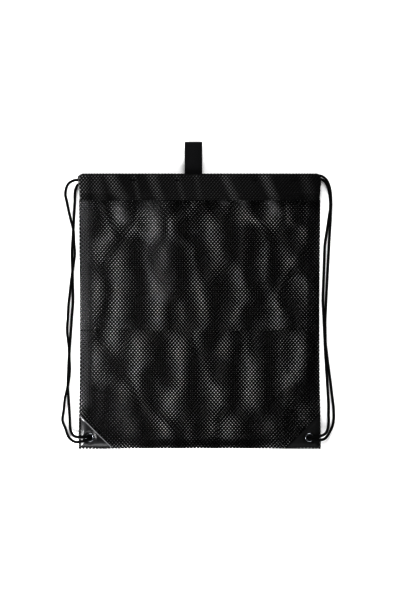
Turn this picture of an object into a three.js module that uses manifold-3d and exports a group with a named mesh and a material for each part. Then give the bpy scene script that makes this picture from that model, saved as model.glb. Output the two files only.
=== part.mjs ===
import * as THREE from 'three';
import { mergeVertices } from 'three/addons/utils/BufferGeometryUtils.js';
import Module from 'manifold-3d';

// A mesh drawstring backpack that lies flat on its back, mouth and hanging loop towards +Y, front up.
// The floor is z = 0, and the origin is on the floor under the middle of bag and loop.

// Driving sizes in millimetres: the cloth bag
const BAG_WIDTH = 350;
const BAG_HEIGHT = 398;
const CLOTH = 1.0;
const GAP = 0.3;
const CROWN = 14;
const SIDE_PULL = 1.4;

// Turned seams between the two panels
const SEAM_CLOTH = 1.2;
const SIDE_SEAM_WIDTH = 17.5;
const BOTTOM_SEAM_WIDTH = 12;

// Drawcord tunnels along the mouth
const CASING_DEPTH = 38;
const CASING_TAPER = 10;
const CASING_END_INSET = 1;
const CORD_SLOT_CUT = 6;
const MOUTH_GAP = 6;

// Cord and its running room in a tunnel
const CORD = 3.5;
const CORD_ROOM = 0.35;

// Corner patches and eyelets
const LEATHER = 1.0;
const PATCH_LEG = 48;
const PATCH_INSET = 1.8;
const PATCH_TIP = 1.5;
const EYELET_INSET = 16.5;
const EYELET_BORE = 8;
const EYELET_WALL = 0.5;
const EYELET_RIM = 1.75;
const RIM_THICK = 0.9;
const BORE_CHAMFER = 0.3;

// Knots behind the eyelets, which hold the bottom corners up
const KNOT_WIDTH = 14;
const KNOT_DEPTH = 12;
const KNOT_HEIGHT = 10.4;
const KNOT_SHOULDER = 0.9;
const TAIL_LENGTH = 13;
const TAIL_TURNS = [0.5, 1.1];
const KNOT_TURN_RIGHT = 1.54;
const FLOOR_GAP = 0.2;
const LIFT_REACH = 80;
const LIFT_FLAT = 9;

// Hanging loop of flat webbing
const WEBBING = 1.2;
const LOOP_WIDTH = 25;
const LOOP_REACH = 46;
const LOOP_OPEN = 7;
const LOOP_SEWN = 18;
const LOOP_OFFSET = -9;

// Fineness of the faceted solids
const CELLS_ACROSS = 20;
const CELLS_DOWN = 25;
const CASING_STATIONS = 16;
const CORD_SIDES = 8;
const EYELET_SIDES = 16;
const KNOT_SIDES = [12, 8];
const LOOP_STEPS = 40;

// Places worked out from the sizes
const HALF_WIDTH = BAG_WIDTH / 2;
const BOTTOM = -(BAG_HEIGHT + LOOP_REACH) / 2;
const TOP = BOTTOM + BAG_HEIGHT;
const STITCH = TOP - CASING_DEPTH;
const SEAM_INNER = HALF_WIDTH - SIDE_SEAM_WIDTH;
const HEM_INNER = BOTTOM + BOTTOM_SEAM_WIDTH;
const BACK_MID = CLOTH / 2;
const SEAM_MID = BACK_MID + CLOTH + 2 * GAP + SEAM_CLOTH;
const TUNNEL_HALF = CORD / 2 + CORD_ROOM;
const CASING_HALF = TUNNEL_HALF + CLOTH;
const CASING_FOOT = CLOTH + GAP / 2;
const LANE_MID = 3 * CASING_HALF + MOUTH_GAP;
const EYELET_X = HALF_WIDTH - EYELET_INSET;
const EYELET_Y = BOTTOM + EYELET_INSET;
const RIM_SEAT = FLOOR_GAP + KNOT_HEIGHT * KNOT_SHOULDER + GAP;
const CORNER_LIFT = RIM_SEAT + RIM_THICK + GAP;
const BARREL = EYELET_BORE / 2 + EYELET_WALL;

// Fullness of the empty bag from the bottom seam to the casing, as shares of the panel and of CROWN
const FULLNESS = [
  { at: 0.0, rise: 0.0 },
  { at: 0.08, rise: 0.36 },
  { at: 0.2, rise: 0.72 },
  { at: 0.38, rise: 0.95 },
  { at: 0.56, rise: 1.0 },
  { at: 0.76, rise: 0.95 },
  { at: 0.9, rise: 0.89 },
  { at: 1.0, rise: (LANE_MID - SEAM_MID) / CROWN },
];

// How far in from its borders a fold of the front panel is at its full height, as shares of the panel
const FOLD_FADE = { side: 0.16, bottom: 0.1, casing: 0.08 };

// Folds of the front panel: a crest from one point to another, in shares of half the width and of the
// panel's height, with its width as a share of half the width and its height as a share of CROWN
const FOLDS = [
  { x0: -0.23, y0: 0.99, x1: -0.17, y1: 0.58, wide: 0.085, high: 0.3 },
  { x0: -0.07, y0: 0.97, x1: -0.03, y1: 0.7, wide: 0.07, high: -0.22 },
  { x0: 0.36, y0: 1.0, x1: 0.44, y1: 0.82, wide: 0.08, high: 0.24 },
  { x0: 0.64, y0: 1.0, x1: 0.78, y1: 0.74, wide: 0.09, high: 0.22 },
  { x0: -0.62, y0: 1.0, x1: -0.7, y1: 0.84, wide: 0.09, high: 0.2 },
  { x0: 0.1, y0: 0.86, x1: 0.08, y1: 0.62, wide: 0.07, high: 0.22 },
  { x0: -0.84, y0: 0.47, x1: 0.7, y1: 0.47, wide: 0.065, high: -0.16 },
  { x0: -0.5, y0: 0.42, x1: -0.66, y1: 0.17, wide: 0.1, high: 0.2 },
  { x0: -0.12, y0: 0.41, x1: -0.16, y1: 0.18, wide: 0.085, high: 0.22 },
  { x0: 0.22, y0: 0.42, x1: 0.12, y1: 0.26, wide: 0.08, high: 0.18 },
  { x0: 0.46, y0: 0.38, x1: 0.5, y1: 0.14, wide: 0.09, high: 0.24 },
  { x0: 0.85, y0: 0.4, x1: 0.7, y1: 0.2, wide: 0.08, high: 0.2 },
  { x0: -0.33, y0: 0.38, x1: -0.4, y1: 0.2, wide: 0.07, high: -0.14 },
];

// The loop's side view: share of its reach past the sewn stretch, and of its opening above the lower leg
const LOOP_LINE = [
  { out: 0.0, up: 0.0 },
  { out: 0.22, up: -0.16 },
  { out: 0.55, up: -0.56 },
  { out: 0.84, up: -0.64 },
  { out: 0.96, up: -0.36 },
  { out: 1.0, up: 0.02 },
  { out: 0.96, up: 0.4 },
  { out: 0.84, up: 0.62 },
  { out: 0.55, up: 0.6 },
  { out: 0.22, up: 0.3 },
];

// Centreline of the left drawcord: eyelet, up the left side, through the front tunnel, round the right
// end, back through the back tunnel and down to the eyelet again
const LEFT_CORD = [
  [-157.7, -207.4, 11.0], [-157.9, -207.4, 16.6], [-162.6, -208.6, 21.4], [-172.0, -211.4, 20.0],
  [-181.6, -211.6, 12.4], [-190.6, -205.0, 3.6], [-199.2, -182.0, 2.1], [-195.4, -150.0, 5.0],
  [-191.1, -131.0, 6.2], [-188.4, -110.0, 6.2], [-189.6, -76.0, 6.2], [-192.4, -52.0, 3.0],
  [-190.2, -12.0, 2.8], [-185.6, 26.0, 5.9], [-181.0, 60.0, 6.0], [-183.4, 96.0, 6.2],
  [-190.2, 123.0, 3.4], [-194.9, 147.0, 4.6], [-190.6, 160.4, 10.2], [-181.4, 165.8, 14.8],
  [-169.6, 166.0, 15.3], [169.6, 165.0, 15.3], [173.9, 163.6, 13.5], [175.6, 160.5, 9.2],
  [173.9, 157.4, 4.9], [169.6, 156.0, 3.1], [-169.6, 161.0, 3.1], [-176.6, 160.2, 2.9],
  [-180.4, 153.0, 2.2], [-183.6, 95.0, 2.1], [-185.4, 62.0, 2.1], [-184.0, -8.0, 2.1],
  [-190.2, -95.0, 2.1], [-191.6, -132.0, 2.1], [-187.6, -195.0, 3.2], [-182.4, -203.0, 11.8],
  [-173.8, -204.8, 19.2], [-164.4, -204.2, 21.6], [-157.9, -203.6, 16.6], [-157.7, -203.6, 11.0],
];

// Centreline of the right drawcord, which mirrors the first one's path and not its curves
const RIGHT_CORD = [
  [157.7, -207.4, 11.0], [157.9, -207.4, 16.6], [162.6, -207.9, 21.4], [172.0, -208.8, 20.0],
  [180.8, -207.4, 13.2], [187.4, -200.4, 5.2], [193.8, -186.0, 2.3], [194.4, -165.0, 2.1],
  [190.2, -129.0, 2.6], [185.4, -95.0, 5.6], [182.4, -70.0, 6.2], [181.8, -38.0, 6.2],
  [185.4, 30.0, 2.2], [189.4, 106.0, 6.0], [190.4, 134.0, 6.6], [188.6, 154.0, 8.8],
  [183.4, 166.4, 12.4], [176.0, 172.0, 14.8], [169.6, 172.6, 15.3], [-169.6, 172.6, 15.3],
  [-173.4, 171.7, 13.5], [-174.8, 169.6, 9.2], [-173.4, 167.5, 4.9], [-169.6, 166.6, 3.1],
  [169.6, 169.5, 3.1], [176.4, 168.6, 2.9], [183.6, 162.6, 2.2], [188.4, 148.0, 2.1],
  [189.8, 128.0, 2.1], [186.0, 101.0, 2.1], [181.8, 74.0, 2.1], [178.9, -6.0, 2.1],
  [182.2, -78.0, 2.1], [187.2, -158.0, 2.1], [187.0, -188.0, 2.7], [183.0, -199.0, 10.8],
  [173.8, -203.2, 19.2], [164.4, -203.9, 21.6], [157.9, -203.6, 16.6], [157.7, -203.6, 11.0],
];

// Interpolation of a table's column, smooth through every row
function through(rows, at, column) {
  const last = rows.length - 2;
  const found = rows.findIndex((row, index) => index <= last && at <= rows[index + 1].at);
  const index = found < 0 ? last : found;
  const slope = (k) => {
    const before = rows[Math.max(0, k - 1)];
    const after = rows[Math.min(rows.length - 1, k + 1)];
    return (after[column] - before[column]) / (after.at - before.at);
  };
  const [low, high] = [rows[index], rows[index + 1]];
  const span = high.at - low.at;
  const t = THREE.MathUtils.clamp((at - low.at) / span, 0, 1);
  const t2 = t * t;
  const t3 = t2 * t;
  return (
    (2 * t3 - 3 * t2 + 1) * low[column] +
    (t3 - 2 * t2 + t) * span * slope(index) +
    (3 * t2 - 2 * t3) * high[column] +
    (t3 - t2) * span * slope(index + 1)
  );
}

// The sides pull in a little between the bag's corners
function pulledIn(x, y) {
  const share = THREE.MathUtils.clamp((y - BOTTOM) / (STITCH - BOTTOM), 0, 1);
  return x * (1 - (SIDE_PULL / HALF_WIDTH) * Math.sin(Math.PI * share));
}

// The knots under the eyelets lift the bottom corners off the floor
function cornerLift(x, y) {
  const away = Math.hypot(Math.abs(x) - EYELET_X, y - EYELET_Y) - LIFT_FLAT;
  const share = THREE.MathUtils.clamp(away / LIFT_REACH, 0, 1);
  return CORNER_LIFT * Math.cos((share * Math.PI) / 2) ** 2;
}

// 1 in the middle of the bag and 0 at the inner edge of the side seams
function dome(x) {
  return 1 - Math.min(1, Math.abs(x) / SEAM_INNER) ** 3;
}

function foldHeight(x, y) {
  const height = STITCH - BOTTOM;
  const fromSide = THREE.MathUtils.clamp((SEAM_INNER - Math.abs(x)) / (SEAM_INNER * FOLD_FADE.side), 0, 1);
  const fromBottom = THREE.MathUtils.clamp((y - HEM_INNER) / (height * FOLD_FADE.bottom), 0, 1);
  const fromCasing = THREE.MathUtils.clamp((STITCH - y) / (height * FOLD_FADE.casing), 0, 1);
  const point = new THREE.Vector2(x, y);
  const sum = FOLDS.reduce((total, fold) => {
    const start = new THREE.Vector2(fold.x0 * HALF_WIDTH, BOTTOM + fold.y0 * height);
    const along = new THREE.Vector2(fold.x1 * HALF_WIDTH, BOTTOM + fold.y1 * height).sub(start);
    const share = point.clone().sub(start).dot(along) / along.lengthSq();
    const near = start.addScaledVector(along, THREE.MathUtils.clamp(share, 0, 1));
    const away = near.distanceTo(point) / (fold.wide * HALF_WIDTH);
    return total + fold.high * Math.exp(-away * away);
  }, 0);
  return CROWN * sum * fromSide * fromBottom * fromCasing;
}

function backMid(x, y) {
  return BACK_MID + cornerLift(x, y);
}

function frontMid(x, y) {
  const share = THREE.MathUtils.clamp((y - HEM_INNER) / (STITCH - HEM_INNER), 0, 1);
  const rise = CROWN * through(FULLNESS, share, 'rise') * dome(x);
  return SEAM_MID + cornerLift(x, y) + rise + foldHeight(x, y);
}

// Half the height of a drawcord tunnel: it opens from the stitched edge to the full tunnel
function casingHalf(y) {
  const share = THREE.MathUtils.clamp((y - STITCH - GAP) / CASING_TAPER, 0, 1);
  return THREE.MathUtils.lerp(CASING_FOOT, CASING_HALF, share);
}

function frontCasingMid(x, y) {
  const share = THREE.MathUtils.clamp((y - STITCH) / (CASING_DEPTH / 2), 0, 1);
  const end = 3 * casingHalf(y) + THREE.MathUtils.lerp(GAP, MOUTH_GAP, share);
  return THREE.MathUtils.lerp(end, LANE_MID, dome(x));
}

// The tunnel's cloth is cut back at both ends where the cords leave it
function casingEnd(y) {
  const share = THREE.MathUtils.clamp((y - STITCH - CASING_TAPER / 2) / CASING_TAPER, 0, 1);
  return HALF_WIDTH - CASING_END_INSET - CORD_SLOT_CUT * THREE.MathUtils.smoothstep(share, 0, 1);
}

function geometryOf(points, quads) {
  const geometry = new THREE.BufferGeometry();
  geometry.setAttribute('position', new THREE.Float32BufferAttribute(points.flat(), 3));
  geometry.setIndex(quads.flatMap(([a, b, c, d]) => [a, b, c, a, c, d]));
  geometry.computeVertexNormals();
  return geometry;
}

// A closed sheet over a grid of stations, between two height functions
function sheetSolid(across, down, topAt, bottomAt) {
  const wide = across.length;
  const count = wide * down.length;
  const layer = (heightAt) => down.flatMap((y) => across.map((x) => {
    const placed = pulledIn(x, y);
    return [placed, y, heightAt(placed, y)];
  }));
  const top = (i, j) => j * wide + i;
  const low = (i, j) => count + j * wide + i;
  const [lastX, lastY] = [wide - 1, down.length - 1];
  const quads = [];
  for (let j = 0; j < lastY; j += 1) {
    for (let i = 0; i < lastX; i += 1) {
      quads.push([top(i, j), top(i + 1, j), top(i + 1, j + 1), top(i, j + 1)]);
      quads.push([low(i, j), low(i, j + 1), low(i + 1, j + 1), low(i + 1, j)]);
    }
    quads.push([low(0, j + 1), low(0, j), top(0, j), top(0, j + 1)]);
    quads.push([low(lastX, j), low(lastX, j + 1), top(lastX, j + 1), top(lastX, j)]);
  }
  for (let i = 0; i < lastX; i += 1) {
    quads.push([low(i, 0), low(i + 1, 0), top(i + 1, 0), top(i, 0)]);
    quads.push([low(i + 1, lastY), low(i, lastY), top(i, lastY), top(i + 1, lastY)]);
  }
  return geometryOf([...layer(topAt), ...layer(bottomAt)], quads);
}

const wasm = await Module();
wasm.setup();

function toManifold(geometry) {
  const bare = geometry.clone();
  bare.deleteAttribute('normal');
  bare.deleteAttribute('uv');
  const merged = mergeVertices(bare, 1e-4);
  const vertProperties = new Float32Array(merged.attributes.position.array);
  const triVerts = new Uint32Array(merged.index.array);
  return new wasm.Manifold(new wasm.Mesh({ numProp: 3, vertProperties, triVerts }));
}

function toGeometry(solid) {
  const { vertProperties, triVerts } = solid.getMesh();
  const geometry = new THREE.BufferGeometry();
  geometry.setAttribute('position', new THREE.Float32BufferAttribute(vertProperties, 3));
  geometry.setIndex(Array.from(triVerts));
  geometry.computeVertexNormals();
  return geometry;
}

// Clearance holes of both eyelets through everything that they hold together
function drilled(geometry) {
  const depth = 4 * CORNER_LIFT;
  const holes = [-1, 1].map((side) => {
    const hole = new THREE.CylinderGeometry(BARREL + GAP, BARREL + GAP, depth, EYELET_SIDES);
    hole.rotateX(Math.PI / 2);
    hole.translate(side * EYELET_X, EYELET_Y, CORNER_LIFT);
    return toManifold(hole);
  });
  return toGeometry(toManifold(geometry).subtract(holes[0]).subtract(holes[1]));
}

function stations(from, to, count) {
  return Array.from({ length: count + 1 }, (_, k) => THREE.MathUtils.lerp(from, to, k / count));
}

const SIDE_STATIONS = stations(SEAM_INNER, HALF_WIDTH, 2);
const ACROSS = [
  ...SIDE_STATIONS.map((x) => -x).reverse().slice(0, -1),
  ...stations(-SEAM_INNER, SEAM_INNER, CELLS_ACROSS),
  ...SIDE_STATIONS.slice(1),
];
const DOWN = [BOTTOM, ...stations(HEM_INNER, STITCH, CELLS_DOWN)];

function frontPanel() {
  return drilled(sheetSolid(
    ACROSS, DOWN,
    (x, y) => frontMid(x, y) + CLOTH / 2,
    (x, y) => frontMid(x, y) - CLOTH / 2,
  ));
}

function backPanel() {
  return drilled(sheetSolid(
    ACROSS, DOWN,
    (x, y) => backMid(x, y) + CLOTH / 2,
    (x, y) => backMid(x, y) - CLOTH / 2,
  ));
}

// Turned-in cloth between the panels, along one edge of the bag
function seamStrip(across, down) {
  const foot = (x, y) => backMid(x, y) + CLOTH / 2 + GAP;
  return drilled(sheetSolid(across, down, (x, y) => foot(x, y) + SEAM_CLOTH, foot));
}

function sideSeam(side) {
  const across = side < 0 ? SIDE_STATIONS.map((x) => -x).reverse() : SIDE_STATIONS;
  return seamStrip(across, DOWN);
}

function bottomSeam() {
  const inner = ACROSS.filter((x) => Math.abs(x) < SEAM_INNER - GAP);
  return seamStrip([-SEAM_INNER + GAP, ...inner, SEAM_INNER - GAP], [BOTTOM, HEM_INNER]);
}

// The outline of a tunnel's section from the stitched foot round the mouth's edge and back, as places
// between foot (0) and edge (1) with the side they are on, for the outer or the inner face of the cloth
function casingRing(inner) {
  const wall = inner ? CLOTH : 0;
  const foot = STITCH + GAP + (inner ? 2 * CLOTH : 0);
  const roundAt = TOP - CASING_HALF;
  const flats = [foot, STITCH + CASING_TAPER, (STITCH + CASING_TAPER + roundAt) / 2, roundAt];
  const half = (y) => (y <= foot && inner ? GAP / 2 : casingHalf(y) - wall);
  const rounds = [0.25, 0.5, 0.75].map((share) => share * Math.PI);
  const upper = flats.map((y) => ({ y, up: half(y) }));
  const radius = CASING_HALF - wall;
  const edge = rounds.map((turn) => ({
    y: roundAt + radius * Math.sin(turn),
    up: radius * Math.cos(turn),
  }));
  const lower = [...upper].reverse().map(({ y, up }) => ({ y, up: -up }));
  return [...upper, ...edge, ...lower];
}

function casing(midAt) {
  const rings = [casingRing(false), casingRing(true)];
  const size = rings[0].length;
  const shares = stations(-1, 1, CASING_STATIONS);
  const layers = rings.map((ring) => shares.flatMap((share) => ring.map(({ y, up }) => {
    const x = share * casingEnd(y);
    return [x, y, midAt(x, y) + up];
  })));
  const outer = (i, k) => i * size + (k % size);
  const hollow = (i, k) => shares.length * size + i * size + (k % size);
  const last = shares.length - 1;
  const quads = [];
  for (let k = 0; k < size; k += 1) {
    for (let i = 0; i < last; i += 1) {
      quads.push([outer(i, k), outer(i + 1, k), outer(i + 1, k + 1), outer(i, k + 1)]);
      quads.push([hollow(i, k), hollow(i, k + 1), hollow(i + 1, k + 1), hollow(i + 1, k)]);
    }
    quads.push([outer(0, k), outer(0, k + 1), hollow(0, k + 1), hollow(0, k)]);
    quads.push([outer(last, k), hollow(last, k), hollow(last, k + 1), outer(last, k + 1)]);
  }
  return geometryOf(layers.flat(), quads);
}

// A leather triangle laid over the corner: the panel's own surface, raised, cut to the outline
function cornerPatch(side) {
  const reach = PATCH_LEG + PATCH_INSET + SIDE_SEAM_WIDTH;
  const across = ACROSS.filter((x) => side * x > HALF_WIDTH - reach);
  const down = DOWN.filter((y) => y < BOTTOM + reach);
  const foot = (x, y) => frontMid(x, y) + CLOTH / 2 + GAP;
  const sheet = sheetSolid(across, down, (x, y) => foot(x, y) + LEATHER, foot);
  const [edgeX, edgeY] = [HALF_WIDTH - PATCH_INSET, BOTTOM + PATCH_INSET];
  const outline = new THREE.Shape([
    [edgeX, edgeY], [edgeX, edgeY + PATCH_LEG], [edgeX - PATCH_TIP, edgeY + PATCH_LEG],
    [edgeX - PATCH_LEG, edgeY + PATCH_TIP], [edgeX - PATCH_LEG, edgeY],
  ].map(([x, y]) => new THREE.Vector2(side * x, y)));
  const cutter = new THREE.ExtrudeGeometry(outline, { depth: 4 * CORNER_LIFT, bevelEnabled: false });
  return drilled(toGeometry(toManifold(sheet).intersect(toManifold(cutter))));
}

// One metal eyelet: a domed rim on the patch, a barrel through the cloth and a flat rim behind
function eyelet(side) {
  const lowSeat = RIM_SEAT + RIM_THICK;
  const highSeat = SEAM_MID + CORNER_LIFT + CLOTH / 2 + GAP + LEATHER + GAP;
  const front = highSeat + RIM_THICK;
  const bore = EYELET_BORE / 2;
  const rim = BARREL + EYELET_RIM;
  const profile = [
    [bore, RIM_SEAT + BORE_CHAMFER], [bore + BORE_CHAMFER, RIM_SEAT], [rim, RIM_SEAT], [rim, lowSeat],
    [BARREL, lowSeat], [BARREL, highSeat], [rim, highSeat], [rim, highSeat + RIM_THICK / 2],
    [rim - RIM_THICK / 2, front], [bore + RIM_THICK / 2, front], [bore, highSeat + RIM_THICK / 2],
    [bore, RIM_SEAT + BORE_CHAMFER],
  ].map(([x, y]) => new THREE.Vector2(x, y));
  const ring = new THREE.LatheGeometry(profile, EYELET_SIDES);
  ring.rotateX(Math.PI / 2);
  ring.translate(side * EYELET_X, EYELET_Y, 0);
  return ring;
}

// The knot that joins both ends of a cord, with the two short tails
function knot(side) {
  const ball = new THREE.SphereGeometry(0.5, ...KNOT_SIDES);
  ball.rotateX(Math.PI / 2);
  ball.scale(KNOT_WIDTH, KNOT_DEPTH, KNOT_HEIGHT);
  ball.translate(0, 0, FLOOR_GAP + KNOT_HEIGHT / 2);
  const tails = TAIL_TURNS.map((turn) => {
    const tail = new THREE.CylinderGeometry(CORD / 2, CORD / 2, TAIL_LENGTH, CORD_SIDES);
    tail.translate(0, TAIL_LENGTH / 2 + KNOT_DEPTH / 4, 0);
    tail.rotateZ(-turn);
    tail.translate(0, 0, FLOOR_GAP + CORD / 2);
    return toManifold(tail);
  });
  const solid = toGeometry(toManifold(ball).add(tails[0]).add(tails[1]));
  solid.rotateZ(side > 0 ? KNOT_TURN_RIGHT : 0);
  solid.translate(side * EYELET_X, EYELET_Y, 0);
  return solid;
}

// A cord's tube, with its steps on the route's own points
function cordTube(route) {
  const path = new THREE.CatmullRomCurve3(route.map(([x, y, z]) => new THREE.Vector3(x, y, z)));
  path.getUtoTmapping = (share) => share;
  const corners = Array.from({ length: CORD_SIDES }, (_, k) => {
    const turn = (2 * Math.PI * k) / CORD_SIDES;
    return new THREE.Vector2(Math.cos(turn), Math.sin(turn)).multiplyScalar(CORD / 2);
  });
  return new THREE.ExtrudeGeometry(new THREE.Shape(corners), {
    steps: route.length - 1,
    extrudePath: path,
    bevelEnabled: false,
  });
}

// The hanging loop: its side view, as thick as the webbing, run across its width
function hangingLoop() {
  const lowLeg = 2 * CASING_HALF + GAP + WEBBING / 2;
  const highLeg = lowLeg + WEBBING + GAP;
  const middle = (lowLeg + highLeg) / 2;
  const reach = LOOP_REACH - WEBBING / 2;
  const bend = LOOP_LINE.map(({ out, up }) => (
    new THREE.Vector3(TOP + out * reach, middle + up * (LOOP_OPEN + WEBBING), 0)
  )).slice(1);
  const legs = [TOP - LOOP_SEWN, TOP - LOOP_SEWN / 2, TOP];
  const line = new THREE.CatmullRomCurve3([
    ...legs.map((y) => new THREE.Vector3(y, lowLeg, 0)),
    ...bend,
    ...legs.map((y) => new THREE.Vector3(y, highLeg, 0)).reverse(),
  ]);
  const face = (offset) => Array.from({ length: LOOP_STEPS + 1 }, (_, k) => {
    const point = line.getPointAt(k / LOOP_STEPS);
    const tangent = line.getTangentAt(k / LOOP_STEPS);
    return new THREE.Vector2(point.x + offset * tangent.y, point.y - offset * tangent.x);
  });
  const outline = new THREE.Shape([...face(WEBBING / 2), ...face(-WEBBING / 2).reverse()]);
  const loop = new THREE.ExtrudeGeometry(outline, { depth: LOOP_WIDTH, bevelEnabled: false });
  loop.rotateX(Math.PI / 2);
  loop.rotateZ(Math.PI / 2);
  loop.translate(LOOP_OFFSET - LOOP_WIDTH / 2, 0, 0);
  return loop;
}

// Finishes: colour, roughness and metalness of each material
const FINISHES = {
  netting: { color: 0x17181a, roughness: 0.72, metalness: 0 },
  leather: { color: 0x121214, roughness: 0.35, metalness: 0 },
  steel: { color: 0xc9cbce, roughness: 0.24, metalness: 1 },
  webbing: { color: 0x1b1b1d, roughness: 0.85, metalness: 0 },
  cord: { color: 0x0f0f10, roughness: 0.8, metalness: 0 },
};

const bag = new THREE.Group();

function addPiece(name, finish, geometry) {
  const piece = new THREE.Mesh(geometry, new THREE.MeshStandardMaterial(FINISHES[finish]));
  piece.name = name;
  bag.add(piece);
}

addPiece('front_panel', 'netting', frontPanel());
addPiece('back_panel', 'netting', backPanel());
addPiece('front_casing', 'netting', casing(frontCasingMid));
addPiece('back_casing', 'netting', casing((x, y) => casingHalf(y)));
addPiece('bottom_seam', 'netting', bottomSeam());
addPiece('hanging_loop', 'webbing', hangingLoop());
for (const [word, side, route] of [['left', -1, LEFT_CORD], ['right', 1, RIGHT_CORD]]) {
  addPiece(`side_seam_${word}`, 'netting', sideSeam(side));
  addPiece(`corner_patch_${word}`, 'leather', cornerPatch(side));
  addPiece(`eyelet_${word}`, 'steel', eyelet(side));
  addPiece(`drawcord_${word}`, 'cord', cordTube(route));
  addPiece(`knot_${word}`, 'cord', knot(side));
}

export default bag;
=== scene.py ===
"""A mesh drawstring backpack that lies flat on its back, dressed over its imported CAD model.

Lengths in the classes are millimetres and become metres where a mesh is made. Mouth and loop point
towards +Y, the front faces +Z, and the floor is z = 0.
"""

import logging
import math
from dataclasses import dataclass, replace
from enum import Enum
from typing import Callable, Optional, Sequence, Union

import bpy
import numpy as np
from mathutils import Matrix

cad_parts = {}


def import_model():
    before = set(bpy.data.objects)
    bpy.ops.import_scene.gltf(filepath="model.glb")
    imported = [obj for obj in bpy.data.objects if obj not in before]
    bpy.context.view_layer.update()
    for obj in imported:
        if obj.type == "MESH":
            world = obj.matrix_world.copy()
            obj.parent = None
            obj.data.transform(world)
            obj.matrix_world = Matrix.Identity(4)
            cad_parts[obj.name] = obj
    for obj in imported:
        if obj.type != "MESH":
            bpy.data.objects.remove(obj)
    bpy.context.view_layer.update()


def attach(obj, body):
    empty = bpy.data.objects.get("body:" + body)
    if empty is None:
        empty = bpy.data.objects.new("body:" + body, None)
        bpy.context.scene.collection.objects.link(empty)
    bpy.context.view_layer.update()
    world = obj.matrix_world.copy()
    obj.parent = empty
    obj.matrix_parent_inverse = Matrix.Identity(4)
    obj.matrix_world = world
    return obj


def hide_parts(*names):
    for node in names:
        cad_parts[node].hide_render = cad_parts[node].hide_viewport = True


LOG = logging.getLogger("backpack")
MM = 0.001
SMALL = 1e-9
# Below this a length or an area in millimetres counts as none
HAIR = 1e-4
# Points of a net that share one of this many steps in a millimetre are one point
STEPS = 500
# Corners of neighbouring cells that are this close, in millimetres, are joined
CLOSE = 0.01
# A line is upright where its direction reaches less than this across
UPRIGHT = 0.1
# Share of a cell that its hole would take if the hole reached the cell's corners
FULL_HOLE = 0.85
MATHS = "ShaderNodeMath"
RANGE = "ShaderNodeMapRange"
NOISE = "ShaderNodeTexNoise"
PLACES = "ShaderNodeTexCoord"
STORED = "ShaderNodeAttribute"
COPIED = "GeometryNodeInstanceOnPoints"
REALIZED = "GeometryNodeRealizeInstances"
FINISHED = "GeometryNodeSetMaterial"

Array = np.ndarray
Tree = bpy.types.NodeTree
Node = bpy.types.Node
Socket = bpy.types.NodeSocket
Piece = bpy.types.Object
Material = bpy.types.Material
Modifier = bpy.types.Modifier
Place = Callable[[Array, Array, Array], Array]
Value = Union[float, Sequence[float], Socket]


# Helpers


def linear(hex_colour: str) -> tuple[float, float, float, float]:
    """Turns an sRGB hex colour into linear RGBA.

    Args:
        hex_colour: Six hex digits, with or without a leading mark.

    Returns:
        Linear red, green, blue and an alpha of one.
    """
    digits = hex_colour.lstrip("#")
    channels = [int(digits[k : k + 2], 16) / 255 for k in (0, 2, 4)]
    bent = [c / 12.92 if c <= 0.04045 else ((c + 0.055) / 1.055) ** 2.4 for c in channels]
    return (bent[0], bent[1], bent[2], 1.0)


def add_node(
    tree: Tree,
    kind: str,
    settings: Optional[dict[str, object]] = None,
    sockets: Optional[dict[Union[str, int], Value]] = None,
) -> Node:
    """Adds one node with its settings, values and links.

    Args:
        tree: The node tree that gets the node.
        kind: The node's type name.
        settings: The node's own properties.
        sockets: Input name or number to a value, or to the socket that feeds it.

    Returns:
        The new node.
    """
    node = tree.nodes.new(kind)
    for name, value in (settings or {}).items():
        setattr(node, name, value)
    for key, value in (sockets or {}).items():
        if isinstance(value, Socket):
            tree.links.new(value, node.inputs[key])
        else:
            node.inputs[key].default_value = value
    return node


def linked(name: str, data: bpy.types.ID) -> Piece:
    """Makes an object of its data and links it to the scene."""
    piece = bpy.data.objects.new(name, data)
    bpy.context.scene.collection.objects.link(piece)
    return piece


def mesh_piece(
    name: str,
    points: Array,
    faces: Sequence[Sequence[int]],
    uv: Optional[Array] = None,
    smooth: bool = True,
) -> Piece:
    """Makes a mesh object at the origin from points in millimetres.

    Args:
        name: The piece's name.
        points: Points, one row each.
        faces: Point numbers of each face.
        uv: One pair for each face corner, in face order.
        smooth: Whether its faces are shaded smooth.

    Returns:
        The linked object.
    """
    mesh = bpy.data.meshes.new(name)
    mesh.from_pydata((points * MM).tolist(), [], [list(map(int, face)) for face in faces])
    if uv is not None:
        layer = mesh.uv_layers.new(name="surface")
        layer.data.foreach_set("uv", np.asarray(uv, dtype=np.float32).ravel())
    mesh.polygons.foreach_set("use_smooth", [smooth] * len(mesh.polygons))
    mesh.update()
    return linked(name, mesh)


def point_values(piece: Piece, name: str, values: Array) -> None:
    """Stores one value for each of a piece's points, for its finish to read."""
    layer = piece.data.attributes.new(name, "FLOAT", "POINT")
    layer.data.foreach_set("value", np.asarray(values, dtype=np.float32))


def places_of(piece: Piece) -> Array:
    """Returns a piece's points in millimetres."""
    return np.array([vertex.co[:] for vertex in piece.data.vertices]) / MM


def side_word(side: int) -> str:
    """Names a side by its sign."""
    return "left" if side < 0 else "right"


def plain_mesh(piece: Piece) -> None:
    """Replaces a piece's modifiers by the mesh that they make."""
    depsgraph = bpy.context.evaluated_depsgraph_get()
    made = bpy.data.meshes.new_from_object(piece.evaluated_get(depsgraph))
    piece.modifiers.clear()
    piece.data = made


def set_input(modifier: Modifier, name: str, value: object) -> None:
    """Sets a Geometry Nodes input that is known by its name, through its identifier."""
    for item in modifier.node_group.interface.items_tree:
        if item.item_type == "SOCKET" and item.in_out == "INPUT" and item.name == name:
            modifier[item.identifier] = value
            return
    raise KeyError(name)


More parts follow.
